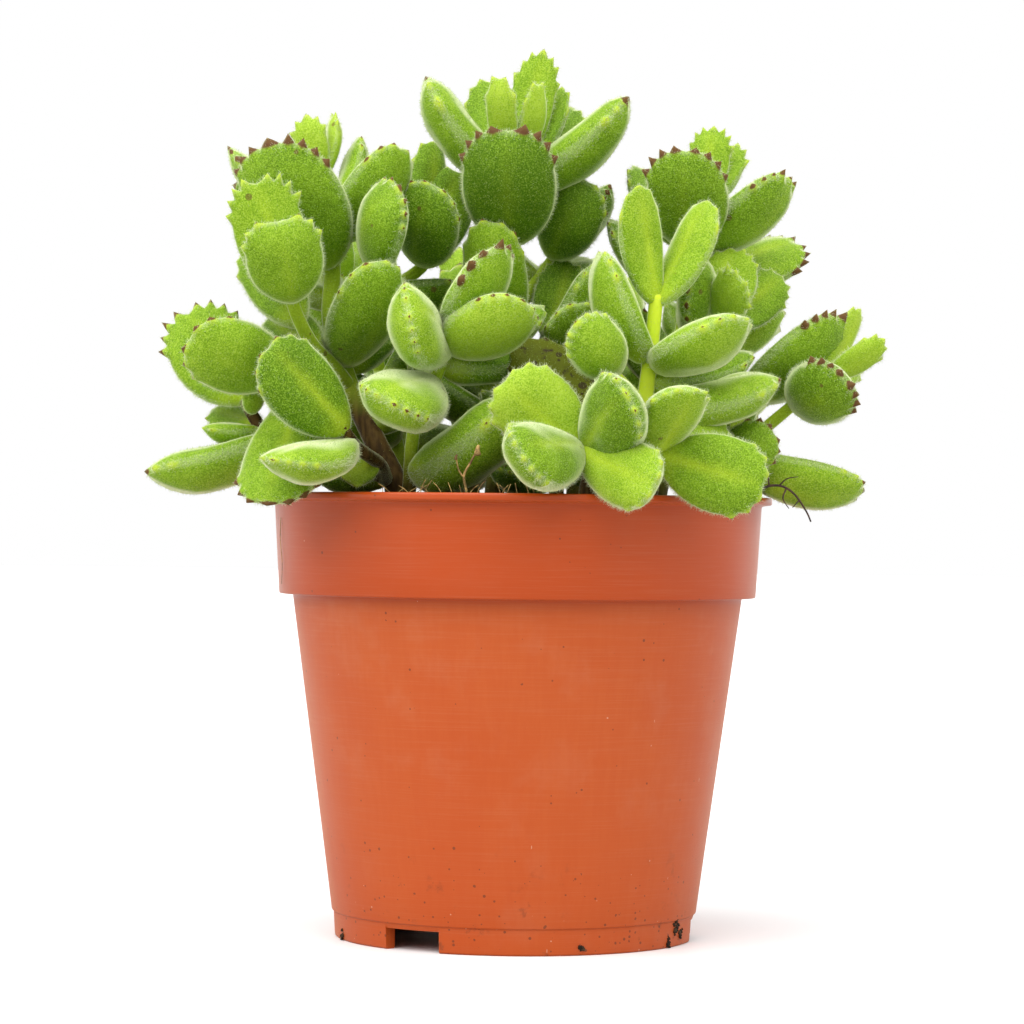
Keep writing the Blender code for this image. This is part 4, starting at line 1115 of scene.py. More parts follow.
class Groups:
    """Effects that several finishes share, each a node group that is built once."""

    @staticmethod
    def made(name: str, inputs: dict[str, float], output: str) -> tuple[Wiring, dict, bpy.types.Node]:
        """A new group with a Vector input, some number inputs and one number output."""
        tree = bpy.data.node_groups.new(name, "ShaderNodeTree")
        tree.interface.new_socket(name="Vector", in_out="INPUT", socket_type="NodeSocketVector")
        for key, value in inputs.items():
            socket = tree.interface.new_socket(name=key, in_out="INPUT", socket_type="NodeSocketFloat")
            socket.default_value = value
        tree.interface.new_socket(name=output, in_out="OUTPUT", socket_type="NodeSocketFloat")
        start, end = tree.nodes.new("NodeGroupInput"), tree.nodes.new("NodeGroupOutput")
        return Wiring(tree), start.outputs, end

    @staticmethod
    @cache
    def specks() -> bpy.types.NodeTree:
        """Scattered round specks: near some of the points of a Voronoi pattern, and not near others."""
        wire, given, end = Groups.made("scattered_specks", {"Scale": 200, "Size": 0.2, "Share": 0.3}, "Mask")
        cells = wire.node("TexVoronoi", Vector=given["Vector"], Scale=given["Scale"])
        draw = wire.node("SeparateColor", Color=cells.outputs["Color"])
        kept = wire.math("LESS_THAN", draw.outputs[0], given["Share"])
        size = wire.times(given["Size"], wire.math("ADD", draw.outputs[1], 0.25))
        wire.fill(end, Mask=wire.times(kept, wire.math("LESS_THAN", cells.outputs["Distance"], size)))
        return wire.tree

    @staticmethod
    @cache
    def grain() -> bpy.types.NodeTree:
        """Fine and coarse unevenness together, as a height from 0 to 1."""
        wire, given, end = Groups.made("fine_grain", {"Fine": 2000, "Coarse": 250, "Share": 0.5}, "Height")
        fine = wire.noise(given["Vector"], given["Fine"], 2)
        coarse = wire.noise(given["Vector"], given["Coarse"])
        mixed = wire.node("Mix", {"data_type": "FLOAT"}, i0=given["Share"], i2=coarse, i3=fine)
        wire.fill(end, Height=mixed.outputs[0])
        return wire.tree


@dataclass(frozen=True)
class FoliageFinish:
    """Fleshy green leaves with furry skin and a painted pale rim sheen, brown teeth, and green or woody
    stems.
    """

    old_and_shaded: tuple = (0.072, 0.160, 0.004)
    grown: tuple = (0.178, 0.325, 0.010)
    fresh: tuple = (0.275, 0.450, 0.022)
    young: tuple = (0.430, 0.600, 0.050)
    down: tuple = (0.400, 0.540, 0.110)
    fringe: tuple = (0.820, 0.900, 0.520)
    painted_rim_sheen: float = 0.95
    tooth: tuple = (0.110, 0.026, 0.020)
    withered: tuple = (0.105, 0.125, 0.003)
    blotch: tuple = (0.030, 0.012, 0.008)
    bark: tuple = (0.050, 0.026, 0.006)
    pale_bark: tuple = (0.130, 0.075, 0.020)
    rib: tuple = (0.680, 0.820, 0.045)
    glow: tuple = (0.480, 0.620, 0.030)

    def material(self) -> Material:
        """Colours a leaf by how aged it is and by painted shade, then rib, down, painted rim sheen, teeth,
        specks, blotches, bark.
        """
        made, wire, shader = new_material("foliage_skin")
        place = wire.place()
        patch = wire.noise(place, 110, 3)
        # the light value holds how aged each leaf is, and painted shade on leaves deep in the clump
        age_and_painted_shade = wire.math("ADD", wire.value("light"), wire.swing(patch, 0.55))
        age_and_painted_shade = wire.math("ADD", age_and_painted_shade, wire.swing(wire.noise(place, 620), 0.35))
        pores = wire.noise(place, 3600, 3, 0.7)
        furry = wire.math("ADD", age_and_painted_shade, wire.span(pores, 0.36, 0.64, -0.30, 0.26))
        color = wire.ramp(furry, ((0.0, self.old_and_shaded), (0.4, self.grown), (0.7, self.fresh), (1.0, self.young)))
        color = wire.mix(wire.span(pores, 0.50, 0.64, 0.0, 0.30), color, self.down)
        color = wire.mix(wire.times(wire.value("rib"), 0.4), color, self.rib)
        color = wire.mix(wire.span(wire.value("along"), 0.0, 0.28, 0.35, 0.0), color, self.rib)
        color = wire.mix(wire.times(wire.span(wire.value("edge"), 0.55, 1.0), 0.15), color, self.fringe)
        # painted rim sheen: the colour turns pale where the surface turns away from the camera
        facing = wire.node("LayerWeight", Blend=0.5).outputs["Facing"]
        color = wire.mix(wire.times(wire.span(facing, 0.56, 0.92), self.painted_rim_sheen), color, self.fringe)
        color = wire.mix(wire.span(wire.value("tooth"), 0.15, 0.8, 0.0, 0.8), color, self.glow)
        specks = wire.group(Groups.specks(), place, Scale=330, Size=0.20, Share=0.05)
        color = wire.mix(wire.times(specks, 0.6), color, self.tooth)
        blotches = wire.span(wire.noise(place, 330, 5, 0.7), 0.55, 0.66)
        withered = wire.mix(blotches, self.withered, self.blotch)
        spots = wire.group(Groups.specks(), place, Scale=420, Size=0.40, Share=0.30)
        withered = wire.mix(wire.times(spots, 0.8), withered, self.blotch)
        color = wire.mix(wire.value("dead"), color, withered)
        dark = wire.math("POWER", wire.value("brown"), 1.5)
        start = wire.math("SUBTRACT", 1.0, wire.times(dark, 0.70))
        reach = wire.math("ADD", wire.value("tooth"), wire.swing(patch, 0.2))
        brown = wire.span(wire.math("SUBTRACT", reach, start), -0.06, 0.10)
        color = wire.mix(wire.times(brown, 0.92), color, self.tooth)
        streaks = wire.span(wire.noise(wire.stretched(place, 0.18), 900, 4), 0.35, 0.70)
        bark = wire.mix(streaks, self.bark, self.pale_bark)
        color = wire.mix(wire.value("wood"), color, bark)
        grain = wire.group(Groups.grain(), place, Fine=3400, Coarse=420, Share=0.75)
        wire.fill(shader, Base_Color=color, Roughness=0.55, Specular_IOR_Level=0.10)
        wire.fill(shader, Sheen_Weight=1.0, Sheen_Roughness=0.22, Sheen_Tint=(0.93, 1.0, 0.60, 1))
        wire.fill(shader, Subsurface_Weight=0.18, Subsurface_Radius=(1.0, 0.9, 0.2), Subsurface_Scale=0.0016)
        wire.fill(shader, Normal=wire.bump(grain, 0.7, 0.0003))
        return made


@dataclass(frozen=True)
class HairFinish:
    """Clear hairs, green from the leaf behind them on its faces and white along its edge."""

    faces: tuple = (0.520, 0.660, 0.200)
    fringe: tuple = (0.820, 0.890, 0.560)

    def material(self) -> Material:
        """A fairly rough shader, whiter for the hairs along a leaf's edge."""
        made, wire, shader = new_material("leaf_hair")
        color = wire.mix(wire.span(wire.value("rim"), 0.02, 0.5), self.faces, self.fringe)
        wire.fill(shader, Base_Color=color, Roughness=0.6, Specular_IOR_Level=0.2)
        return made


@dataclass(frozen=True)
class PotFinish:
    """Moulded terracotta-coloured plastic, with brushed rings, fine scratches, dust and soil, and painted
    shade on its collar.
    """

    plastic: tuple = (0.460, 0.060, 0.005)
    faded_and_lit: tuple = (0.515, 0.092, 0.015)
    soil: tuple = (0.050, 0.026, 0.014)
    dust: tuple = (0.640, 0.400, 0.260)

    def material(self) -> Material:
        """Colours the plastic by soft patches, the collar darker as painted shade, then adds dust, pale
        scratches and specks of soil.
        """
        made, wire, shader = new_material("pot_plastic_skin")
        place = wire.place()
        rings = wire.stretched(place, 60.0)
        brushed = wire.noise(rings, 60, 4, 0.6)
        patch = wire.noise(place, 28, 4)
        height = wire.node("SeparateXYZ", Vector=place).outputs["Z"]
        body = wire.span(height, 0.0690, 0.0705, 1.0, 0.0)
        # the body below the collar turns paler: partly scuffed plastic, partly painted shade that keeps the
        # collar under the plants darker
        scuff_and_collar_shade = wire.times(wire.span(patch, 0.30, 0.60, 0.6, 1.0), body)
        color = wire.mix(scuff_and_collar_shade, self.plastic, self.faded_and_lit)
        color = wire.mix(wire.times(wire.span(brushed, 0.45, 0.75), 0.06), color, self.dust)
        upright = wire.noise(wire.stretched(place, 0.03), 700, 4, 0.6)
        color = wire.mix(wire.span(upright, 0.40, 0.62, 0.16, 0.0), color, self.plastic)
        clouds = wire.span(wire.noise(place, 85, 5, 0.6), 0.50, 0.70)
        clouds = wire.times(clouds, wire.math("ADD", body, 0.35))
        color = wire.mix(wire.times(clouds, 0.04), color, self.dust)
        low = wire.span(height, 0.0, 0.028, 1.0, 0.0)
        color = wire.mix(wire.span(height, 0.004, 0.060, 0.30, 0.0), color, self.plastic)
        amount = wire.math("ADD", wire.times(low, 0.28), 0.02)
        fall = wire.stretched(place, 0.22)
        marks = (
            (place, 1000, 0.26, self.soil),
            (place, 430, 0.055, self.soil),
            (place, 560, 0.10, self.dust),
            (fall, 620, 0.10, self.dust),
        )
        for where, scale, size, tint in marks:
            specks = wire.group(Groups.specks(), where, Scale=scale, Size=size, Share=amount)
            color = wire.mix(wire.times(specks, 0.6), color, tint)
        smear = wire.span(wire.noise(place, 240, 5, 0.65), 0.60, 0.72)
        color = wire.mix(wire.times(wire.times(smear, low), 0.45), color, self.soil)
        rough = wire.span(wire.noise(place, 70, 4), 0.3, 0.7, 0.28, 0.34)
        rough = wire.math("ADD", rough, wire.times(body, 0.10))
        grain = wire.group(Groups.grain(), rings, Fine=400, Coarse=45, Share=0.4)
        wire.fill(shader, Base_Color=color, Roughness=rough, Specular_IOR_Level=0.28)
        wire.fill(shader, Sheen_Weight=0.22, Sheen_Roughness=0.35, Sheen_Tint=(1.0, 0.55, 0.28, 1))
        wire.fill(shader, Normal=wire.bump(grain, 0.07, 0.0002))
        return made


@dataclass(frozen=True)
class SoilFinish:
    """Dark, damp peat with paler bits in it."""

    dark: tuple = (0.018, 0.011, 0.007)
    pale: tuple = (0.080, 0.048, 0.026)

    def material(self) -> Material:
        """Mixes the two colours by a fine noise and roughens the surface."""
        made, wire, shader = new_material("potting_soil_skin")
        place = wire.place()
        color = wire.mix(wire.span(wire.noise(place, 700, 5, 0.6), 0.40, 0.70), self.dark, self.pale)
        grain = wire.group(Groups.grain(), place, Fine=1500, Coarse=400, Share=0.5)
        wire.fill(shader, Base_Color=color, Roughness=0.95, Specular_IOR_Level=0.2)
        wire.fill(shader, Normal=wire.bump(grain, 0.9, 0.0008))
        return made


@dataclass(frozen=True)
class TwigFinish:
    """Dry plant fibre, from straw to dark brown."""

    name: str
    dark: tuple
    pale: tuple

    def material(self) -> Material:
        """Mixes the two colours in streaks and roughens them."""
        made, wire, shader = new_material(self.name)
        place = wire.place()
        color = wire.mix(wire.span(wire.noise(place, 800, 4), 0.35, 0.65), self.dark, self.pale)
        tilted = wire.bump(wire.noise(place, 2500), 0.6, 0.0002)
        wire.fill(shader, Base_Color=color, Roughness=0.8, Normal=tilted)
        return made


@dataclass
class PlantDressing:
    """The looks of one plant: its leaves and stems in one piece and its hairs in another."""

    name: str
    plant: Plant
    placed: list
    seed: int
    stem_step: float = 1.6
    stem_sides: int = 14
    bark_fade: float = 10.0
    light_varies: float = 0.04
    rear_hair_share: float = 0.4

    def stems(self, shape: Shape) -> None:
        """Adds the stems, which are woody low down."""
        for points, branch in zip(plant_paths(self.plant), self.plant.branches):
            radii = (branch.start_radius, branch.end_radius)
            skin, faces = tube(points, *radii, self.stem_step, self.stem_sides)
            wood = np.clip((self.plant.woody_to - skin[:, 2]) / self.bark_fade + 0.5, 0, 1)
            colour = {"brown": 0.0, "tooth": 0.0, "edge": 0.1, "along": 0.6, "light": 0.6, "dead": 0.0}
            shape.add(skin, faces, rib=self.plant.stem_glow, wood=wood, **colour)

    def leaves(self, shape: Shape, chance: Draw) -> None:
        """Adds every leaf, each a little lighter or darker than its neighbours."""
        detail = Detail.REAR if "rear" in self.name else Detail.FRONT
        surface = LeafSurface()
        for item in self.placed:
            points, faces, values = surface.build(item, detail, chance)
            light = item.leaf.light + chance.uniform(-self.light_varies, self.light_varies)
            shape.add(points, faces, light=light, dead=item.leaf.dead, wood=0.0, **values)

    def build(self, skin: Material, down: Material) -> None:
        """Makes both pieces, dresses them and puts them in the frame.

        Args:
            skin: the leaves' and stems' material.
            down: the hairs' material.
        """
        chance = np.random.default_rng(self.seed)
        shape = Shape()
        self.stems(shape)
        self.leaves(shape, chance)
        points, triangles, values = shape.arrays()
        body = new_piece(self.name.replace("plant", "foliage"), points, triangles, values)
        body.data.materials.append(skin)
        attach(body, "root")
        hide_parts(self.name)
        share = self.rear_hair_share if "rear" in self.name else 1.0
        coat = HairCoat().grow(points, triangles, values, share, chance)
        hairs = new_piece(self.name.replace("plant", "hairs"), *coat)
        hairs.data.materials.append(down)
        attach(hairs, "root")
        count = len(hairs.data.polygons) // 4
        log.info("%s: %d leaves, %d triangles, %d hairs", self.name, len(self.placed), len(triangles), count)


@dataclass
class GrowerPot:
    """The pot, in mm: a turned cup with a lip, a collar, notches in its foot and drain holes."""

    height: float = 91.2
    lip_radius: float = 52.5
    lip_height: float = 1.5
    collar_top_radius: float = 50.4
    collar_foot_radius: float = 49.3
    collar_foot_z: float = 70.5
    body_top_radius: float = 46.5
    body_foot_radius: float = 37.7
    mould_line_z: float = 5.5
    foot_top_radius: float = 37.3
    foot_radius: float = 37.0
    foot_ring_width: float = 2.4
    wall: float = 1.1
    floor_underside: float = 3.9
    floor_thickness: float = 1.4
    notch_count: int = 3
    notch_width: float = 12.8
    notch_height: float = 4.3
    first_notch_deg: float = -123.5
    drain_holes: int = 5
    drain_radius: float = 3.5
    drain_circle: float = 24.0
    first_drain_deg: float = 30.0
    drain_sides: int = 28
    drill_heights: tuple = (1.0, 5.0, 9.0)
    longest_row: float = 6.0
    sharp_deg: float = 50.0
    columns: int = 168

    def section(self) -> Array:
        """The wall's section as (radius, height), from under the floor, out, up and in again.

        Returns:
            The corners, each with the radius that it is rounded to.
        """
        slope = (self.body_top_radius - self.body_foot_radius) / (self.collar_foot_z - self.mould_line_z)
        floor = self.floor_underside + self.floor_thickness
        ring = self.foot_radius - self.foot_ring_width
        inside_foot = self.body_foot_radius - self.wall + slope * (floor - self.mould_line_z)
        under_lip = self.height - self.lip_height
        return np.array(
            [
                (0, self.floor_underside, 0),
                (ring, self.floor_underside, 0.3),
                (ring, 0, 0.4),
                (self.foot_radius, 0, 0.5),
                (self.foot_top_radius, self.mould_line_z - 0.3, 0.1),
                (self.body_foot_radius, self.mould_line_z, 0.1),
                (self.body_top_radius, self.collar_foot_z, 0.3),
                (self.collar_foot_radius, self.collar_foot_z, 0.35),
                (self.collar_top_radius, under_lip - 0.3, 0.4),
                (self.lip_radius, under_lip, 0.35),
                (self.lip_radius, self.height, 0.5),
                (self.collar_top_radius - self.wall, self.height, 0.4),
                (self.collar_foot_radius - self.wall, self.collar_foot_z + self.wall, 0.5),
                (self.body_top_radius - self.wall, self.collar_foot_z + self.wall, 0.5),
                (inside_foot, floor, 0.8),
                (0, floor, 0),
            ]
        )

    @staticmethod
    def rounded(corners: Array, steps: int = 4) -> Array:
        """Rounds each corner of a section to its radius with a quadratic curve.

        The curve starts and ends one radius from the corner along its two sides, or 0.45 of the
        side where that is shorter, and the corner is its middle control point.
        """
        result = [corners[0, :2]]
        for before, here, after in zip(corners[:-2], corners[1:-1], corners[2:]):
            middle, radius = here[:2], here[2]
            back, ahead = before[:2] - middle, after[:2] - middle
            start = middle + back * min(radius / np.linalg.norm(back), 0.45)
            end = middle + ahead * min(radius / np.linalg.norm(ahead), 0.45)
            t = np.linspace(0, 1, steps)[:, None]
            result.extend((1 - t) ** 2 * start + 2 * t * (1 - t) * middle + t**2 * end)
        return np.array([*result, corners[-1, :2]])

    @staticmethod
    def spaced(section: Array, most: float) -> Array:
        """Adds points to a section so that none of its straight stretches is longer than most."""
        result = [section[0]]
        for start, end in zip(section[:-1], section[1:]):
            count = max(1, math.ceil(float(np.linalg.norm(end - start)) / most))
            result.extend(start + (end - start) * (np.arange(1, count + 1) / count)[:, None])
        return np.array(result)

    def turns(self) -> tuple[Array, Array]:
        """The angles of the pot's columns, and which of them stand in a notch."""
        even = np.arange(self.columns) * math.tau / self.columns
        half = math.asin(self.notch_width / 2 / self.foot_radius)
        middles = np.radians(self.first_notch_deg + 360 / self.notch_count * np.arange(self.notch_count))
        sides = np.concatenate([middles + side for side in (-half - 4e-4, -half, half, half + 4e-4)])
        angles = np.sort(np.concatenate([even, sides % math.tau]))
        apart = np.abs((angles[:, None] - middles + math.pi) % math.tau - math.pi)
        return angles, (apart <= half + 1e-6).any(1)

    def build(self, plastic: Material) -> None:
        """Turns the section, lifts its foot in the notches, drills the floor and dresses it."""
        section = self.spaced(self.rounded(self.section()), self.longest_row)
        angles, notched = self.turns()
        radius, high = section[1:-1].T
        foot = (high < self.notch_height) & (radius > self.foot_radius - self.foot_ring_width - 0.5)
        z = np.where(notched[:, None] & foot, np.maximum(high, self.notch_height), high)
        skin = np.stack([np.outer(radius, np.cos(angles)), np.outer(radius, np.sin(angles)), z.T], -1)
        middles = np.array([[0, 0, section[0, 1]], [0, 0, section[-1, 1]]])
        points = np.concatenate([skin.reshape(-1, 3), middles])
        pot = new_piece("pot_shell", points, ring_faces(len(radius), len(angles)))
        self.drill(pot)
        pot.data.materials.append(plastic)
        pot.data.set_sharp_from_angle(angle=math.radians(self.sharp_deg))
        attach(pot, "root")
        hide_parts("pot")
        log.info("pot: %d faces", len(pot.data.polygons))

    def drill(self, pot: Piece) -> None:
        """Cuts the drain holes through the floor with a Boolean, and applies it."""
        cutters = Shape()
        for index in range(self.drain_holes):
            turn = math.radians(self.first_drain_deg + 360 * index / self.drain_holes)
            x, y = self.drain_circle * math.cos(turn), self.drain_circle * math.sin(turn)
            path = tuple((x, y, z) for z in self.drill_heights)
            cutters.add_tube(path, self.drain_radius, self.drain_radius, 4.0, self.drain_sides)
        drill = cutters.piece("drain_cutter")
        change = pot.modifiers.new("drain", "BOOLEAN")
        change.operation = "DIFFERENCE"
        change.object = drill
        bpy.context.view_layer.update()
        graph = bpy.context.evaluated_depsgraph_get()
        mesh = bpy.data.meshes.new_from_object(pot.evaluated_get(graph))
        pot.modifiers.clear()
        pot.data = mesh
        bpy.data.objects.remove(drill)


@dataclass
class SoilBed:
    """The soil, in mm: a lumpy surface with crumbs and fibres, on a body that fills the pot.

    wall holds the radius and height of each ring below the surface, and waves the length and size
    of the surface's lumps. Every other fibre lies along the front, and the rim ones stand up there.
    """

    top: float = 87.6
    mound: float = 1.2
    radius: float = 48.7
    underside: float = 5.7
    wall: tuple = ((48.0, 71.9), (45.0, 71.9), (36.3, 5.7))
    waves: tuple = ((17, 0.45), (9, 0.32), (4.5, 0.24), (2.2, 0.20), (1.3, 0.13))
    rim_reach: float = 47.6
    rings: int = 46
    columns: int = 140
    seed: int = 5
    crumbs: int = 700
    crumb_margin: float = 1.5
    crumb_size: float = 0.28
    crumb_grows: float = 1.0
    crumb_rough: tuple = (0.65, 1.25)
    crumb_squash: tuple = (0.55, 1.2)
    crumb_lift: float = 0.25
    fibres: int = 190
    front_deg: tuple = (-150, -60)
    front_reach: tuple = (36, 47.5)
    open_reach: tuple = (8, 46)
    fibre_lengths: tuple = (4, 11)
    fibre_curl: float = 0.5
    fibre_lift: float = 0.3
    fibre_wavers: float = 0.9
    fibre_radii: tuple = (0.07, 0.17)
    fibre_margin: float = 0.8
    rim_fibres: int = 26
    rim_deg: tuple = (-124, -84)
    rim_lean: float = 5.0
    rim_rise: tuple = (3.6, 6.2)
    rim_radii: tuple = (0.13, 0.06)

    def height(self, x: Array, y: Array) -> Array:
        """The surface: a low mound with a sum of waves of several lengths and turns over it."""
        rise = self.top + self.mound * (1 - (x**2 + y**2) / self.radius**2)
        draw = np.random.default_rng(self.seed)
        for length, size in self.waves:
            for _ in range(4):
                turn, phase = draw.uniform(0, math.tau, 2)
                wave = math.tau * (x * math.cos(turn) + y * math.sin(turn)) / length + phase
                rise = rise + size / 2 * np.sin(wave + 1.3 * np.sin(wave * 0.37 + phase))
        return rise

    def build(self, soil: Material, straw: Material) -> None:
        """Makes the bed and its crumbs in one piece and the fibres in another, and dresses them.

        Args:
            soil: the peat's material.
            straw: the fibres' material.
        """
        shape = Shape()
        self.bed(shape)
        draw = np.random.default_rng(self.seed + 1)
        self.scatter_crumbs(shape, draw)
        bed = shape.piece("soil_bed", soil)
        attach(bed, "root")
        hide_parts("soil")
        threads = Shape()
        self.scatter_fibres(threads, draw)
        loose = threads.piece("soil_fibres", straw)
        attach(loose, "root")
        log.info("soil: %d crumbs and %d fibres", self.crumbs, self.fibres + self.rim_fibres)

    def bed(self, shape: Shape) -> None:
        """Adds the surface as rings of points, the wall below it and the flat underside."""
        share = np.linspace(0, 1, self.rings + 1)[1:]
        turn = math.tau * np.arange(self.columns) / self.columns
        x, y = np.outer(share * self.radius, np.cos(turn)), np.outer(share * self.radius, np.sin(turn))
        z = self.height(x, y)
        z[-1] = np.minimum(z[-1], self.top)
        for radius, high in self.wall:
            x = np.vstack([x, radius * np.cos(turn)])
            y = np.vstack([y, radius * np.sin(turn)])
            z = np.vstack([z, np.full(self.columns, high)])
        points = np.stack([x, y, z], -1).reshape(-1, 3)
        top = float(self.height(np.zeros(1), np.zeros(1))[0])
        ends = np.array([[0, 0, top], [0, 0, self.underside]])
        outward = ring_faces(len(x), self.columns)[:, ::-1]
        shape.add(np.concatenate([points, ends]), outward)

    def scatter_crumbs(self, shape: Shape, draw: Draw) -> None:
        """Adds crumbs, each an icosahedron squashed and turned at random on the surface."""
        gold = (1 + 5**0.5) / 2
        corners = np.array(
            [(-1, gold, 0), (1, gold, 0), (-1, -gold, 0), (1, -gold, 0), (0, -1, gold), (0, 1, gold),
             (0, -1, -gold), (0, 1, -gold), (gold, 0, -1), (gold, 0, 1), (-gold, 0, -1), (-gold, 0, 1)]
        ) / math.hypot(1, gold)
        faces = np.array(
            [(0, 11, 5), (0, 5, 1), (0, 1, 7), (0, 7, 10), (0, 10, 11), (1, 5, 9), (5, 11, 4), (11, 10, 2),
             (10, 7, 6), (7, 1, 8), (3, 9, 4), (3, 4, 2), (3, 2, 6), (3, 6, 8), (3, 8, 9), (4, 9, 5),
             (2, 4, 11), (6, 2, 10), (8, 6, 7), (9, 8, 1)]
        )
        count = self.crumbs
        reach = (self.radius - self.crumb_margin) * np.sqrt(draw.random(count))
        turn = draw.uniform(0, math.tau, count)
        x, y = reach * np.cos(turn), reach * np.sin(turn)
        size = self.crumb_size + self.crumb_grows * draw.random(count) ** 3
        lumps = corners * draw.uniform(*self.crumb_rough, (count, 12, 1)) * size[:, None, None]
        lumps *= draw.uniform(*self.crumb_squash, (count, 1, 3))
        place = np.stack([x, y, self.height(x, y) + self.crumb_lift * size], -1)
        points = (lumps + place[:, None]).reshape(-1, 3)
        shape.add(points, (faces + 12 * np.arange(count)[:, None, None]).reshape(-1, 3))

    def scatter_fibres(self, shape: Shape, draw: Draw) -> None:
        """Adds thin curled fibres that lie on the soil, more of them along the front of the pot."""
        for index in range(self.fibres):
            turn = draw.uniform(0, math.tau) if index % 2 else math.radians(draw.uniform(*self.front_deg))
            reach = draw.uniform(*(self.open_reach if index % 2 else self.front_reach))
            x, y = reach * math.cos(turn), reach * math.sin(turn)
            way = draw.uniform(0, math.tau)
            length, curl = draw.uniform(*self.fibre_lengths), draw.uniform(-self.fibre_curl, self.fibre_curl)
            points = []
            for _ in range(5):
                surface = float(self.height(np.array([x]), np.array([y]))[0])
                points.append((x, y, surface + self.fibre_lift + draw.uniform(0, self.fibre_wavers)))
                x += length / 4 * math.cos(way)
                y += length / 4 * math.sin(way)
                keep = min(1.0, (self.radius - self.fibre_margin) / math.hypot(x, y))
                x, y = x * keep, y * keep
                way += curl
            radius = draw.uniform(*self.fibre_radii)
            shape.add_tube(tuple(points), radius, radius * 0.6, 1.5, 4)
        for _ in range(self.rim_fibres):
            turn = math.radians(draw.uniform(*self.rim_deg))
            x, y = self.rim_reach * math.cos(turn), self.rim_reach * math.sin(turn)
            lean, rise = draw.uniform(-self.rim_lean, self.rim_lean), draw.uniform(*self.rim_rise)
            steps = ((0, -0.5), (lean / 2, rise * 0.7), (lean, rise))
            path = tuple((x + aside, y, self.top + up) for aside, up in steps)
            shape.add_tube(path, *self.rim_radii, 1.2, 4)


@dataclass
class Debris:
    """Dry bits that have caught on the plant and the pot, in mm.

    thread_places holds the radius and height of each of the thread's points, whose turns are in
    degrees, and foot_clumps the place and size of each clump of soil.
    """

    budded_twig: tuple = (
        (-10.5, -42, 87), (-10.2, -42.5, 91), (-10.8, -43, 94.5), (-9.6, -43, 97), (-8.2, -43, 99.6)
    )
    twig_fork: tuple = ((-10.8, -43, 94.2), (-11.8, -43, 95.6), (-12.4, -43.2, 98.2))
    hooked_twig: tuple = (
        (46, -20, 88.5), (49, -20.5, 92.8), (52.5, -21, 93.6),
        (55.5, -21, 92), (58, -21, 88.5), (59, -20.5, 86.4),
    )
    hook_spurs: tuple = (
        ((50.5, -20.7, 93.4), (50.2, -21.5, 95.6), (49.4, -22, 97.6)),
        ((52.5, -21, 93.6), (54, -22, 95), (56.2, -22.5, 95.4)),
        ((54, -21, 93.1), (53.2, -22, 91.0), (54.4, -22.5, 89.0)),
        ((56.6, -21, 90.7), (55.2, -21.8, 89.2)),
    )
    thread_turns: tuple = (-163.5, -164.8, -163.6, -165.2)
    thread_places: tuple = ((50.4, 86.0), (50.2, 81.5), (50.0, 77.0), (49.75, 72.5))
    foot_clumps: tuple = (
        (32.4, -17.6, 4.2, 1.5),
        (33.6, -15.4, 2.4, 1.1),
        (31.2, -20.2, 1.2, 0.9),
        (-34.6, -12.6, 1.0, 0.9),
        (13.4, -34.4, 1.4, 0.9),
    )
    twig_radii: tuple = (0.28, 0.22)
    fork_radii: tuple = (0.2, 0.12)
    thread_radii: tuple = (0.07, 0.05)
    hook_radii: tuple = (0.34, 0.16)
    spur_radii: tuple = (0.2, 0.08)
    bud_sizes: tuple = (0.75, 0.4)
    step: float = 0.8
    clump_grains: int = 16
    foot_radius: float = 37.1
    seed: int = 3

    def build(self, straw: Material, brown: Material, soil: Material) -> None:
        """Makes the twigs, the thread on the collar and the clumps of soil at the foot.

        Args:
            straw: the pale fibres' material.
            brown: the dark twig's material.
            soil: the clumps' material.
        """
        pale, dark, clumps = Shape(), Shape(), Shape()
        turns = np.radians(self.thread_turns)
        thread = tuple((r * math.cos(t), r * math.sin(t), z) for t, (r, z) in zip(turns, self.thread_places))
        pale.add_tube(self.budded_twig, *self.twig_radii, self.step, 7)
        pale.add_tube(self.twig_fork, *self.fork_radii, self.step, 7)
        pale.add_tube(thread, *self.thread_radii, self.step, 7)
        for (x, y, z), size in zip((self.budded_twig[-1], self.twig_fork[-1]), self.bud_sizes):
            bud = ((x, y, z - 1.2 * size), (x, y, z), (x + 0.2, y, z + 1.2 * size))
            pale.add_tube(bud, size, size * 0.4, 0.5, 9)
        dark.add_tube(self.hooked_twig, *self.hook_radii, self.step, 8)
        for spur in self.hook_spurs:
            dark.add_tube(spur, *self.spur_radii, self.step, 6)
        draw = np.random.default_rng(self.seed)
        for x, y, z, size in self.foot_clumps:
            for _ in range(self.clump_grains):
                place = np.array([x, y, z]) + draw.normal(0, size * 0.55, 3) * np.array([0.6, 0.6, 1])
                grow = size * draw.uniform(0.16, 0.4)
                reach = math.hypot(place[0], place[1])
                place[:2] *= (self.foot_radius + grow * 0.3 + 0.12 * max(place[2] - 5.5, 0)) / reach
                place[2] = max(place[2], grow)
                path = (tuple(place - [0, 0, grow * 0.6]), tuple(place), tuple(place + [0, 0, grow * 0.6]))
                clumps.add_tube(path, grow, grow * 0.7, grow, 7)
        for name, shape, finish, slot in (
            ("dry_twig_pale", pale, straw, "potting_soil"),
            ("dry_twig_dark", dark, brown, "potting_soil"),
            ("foot_soil_clumps", clumps, soil, "potting_soil"),
        ):
            piece = shape.piece(name, finish)
            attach(piece, "root")
            log.info("%s: %d faces", name, len(piece.data.polygons))


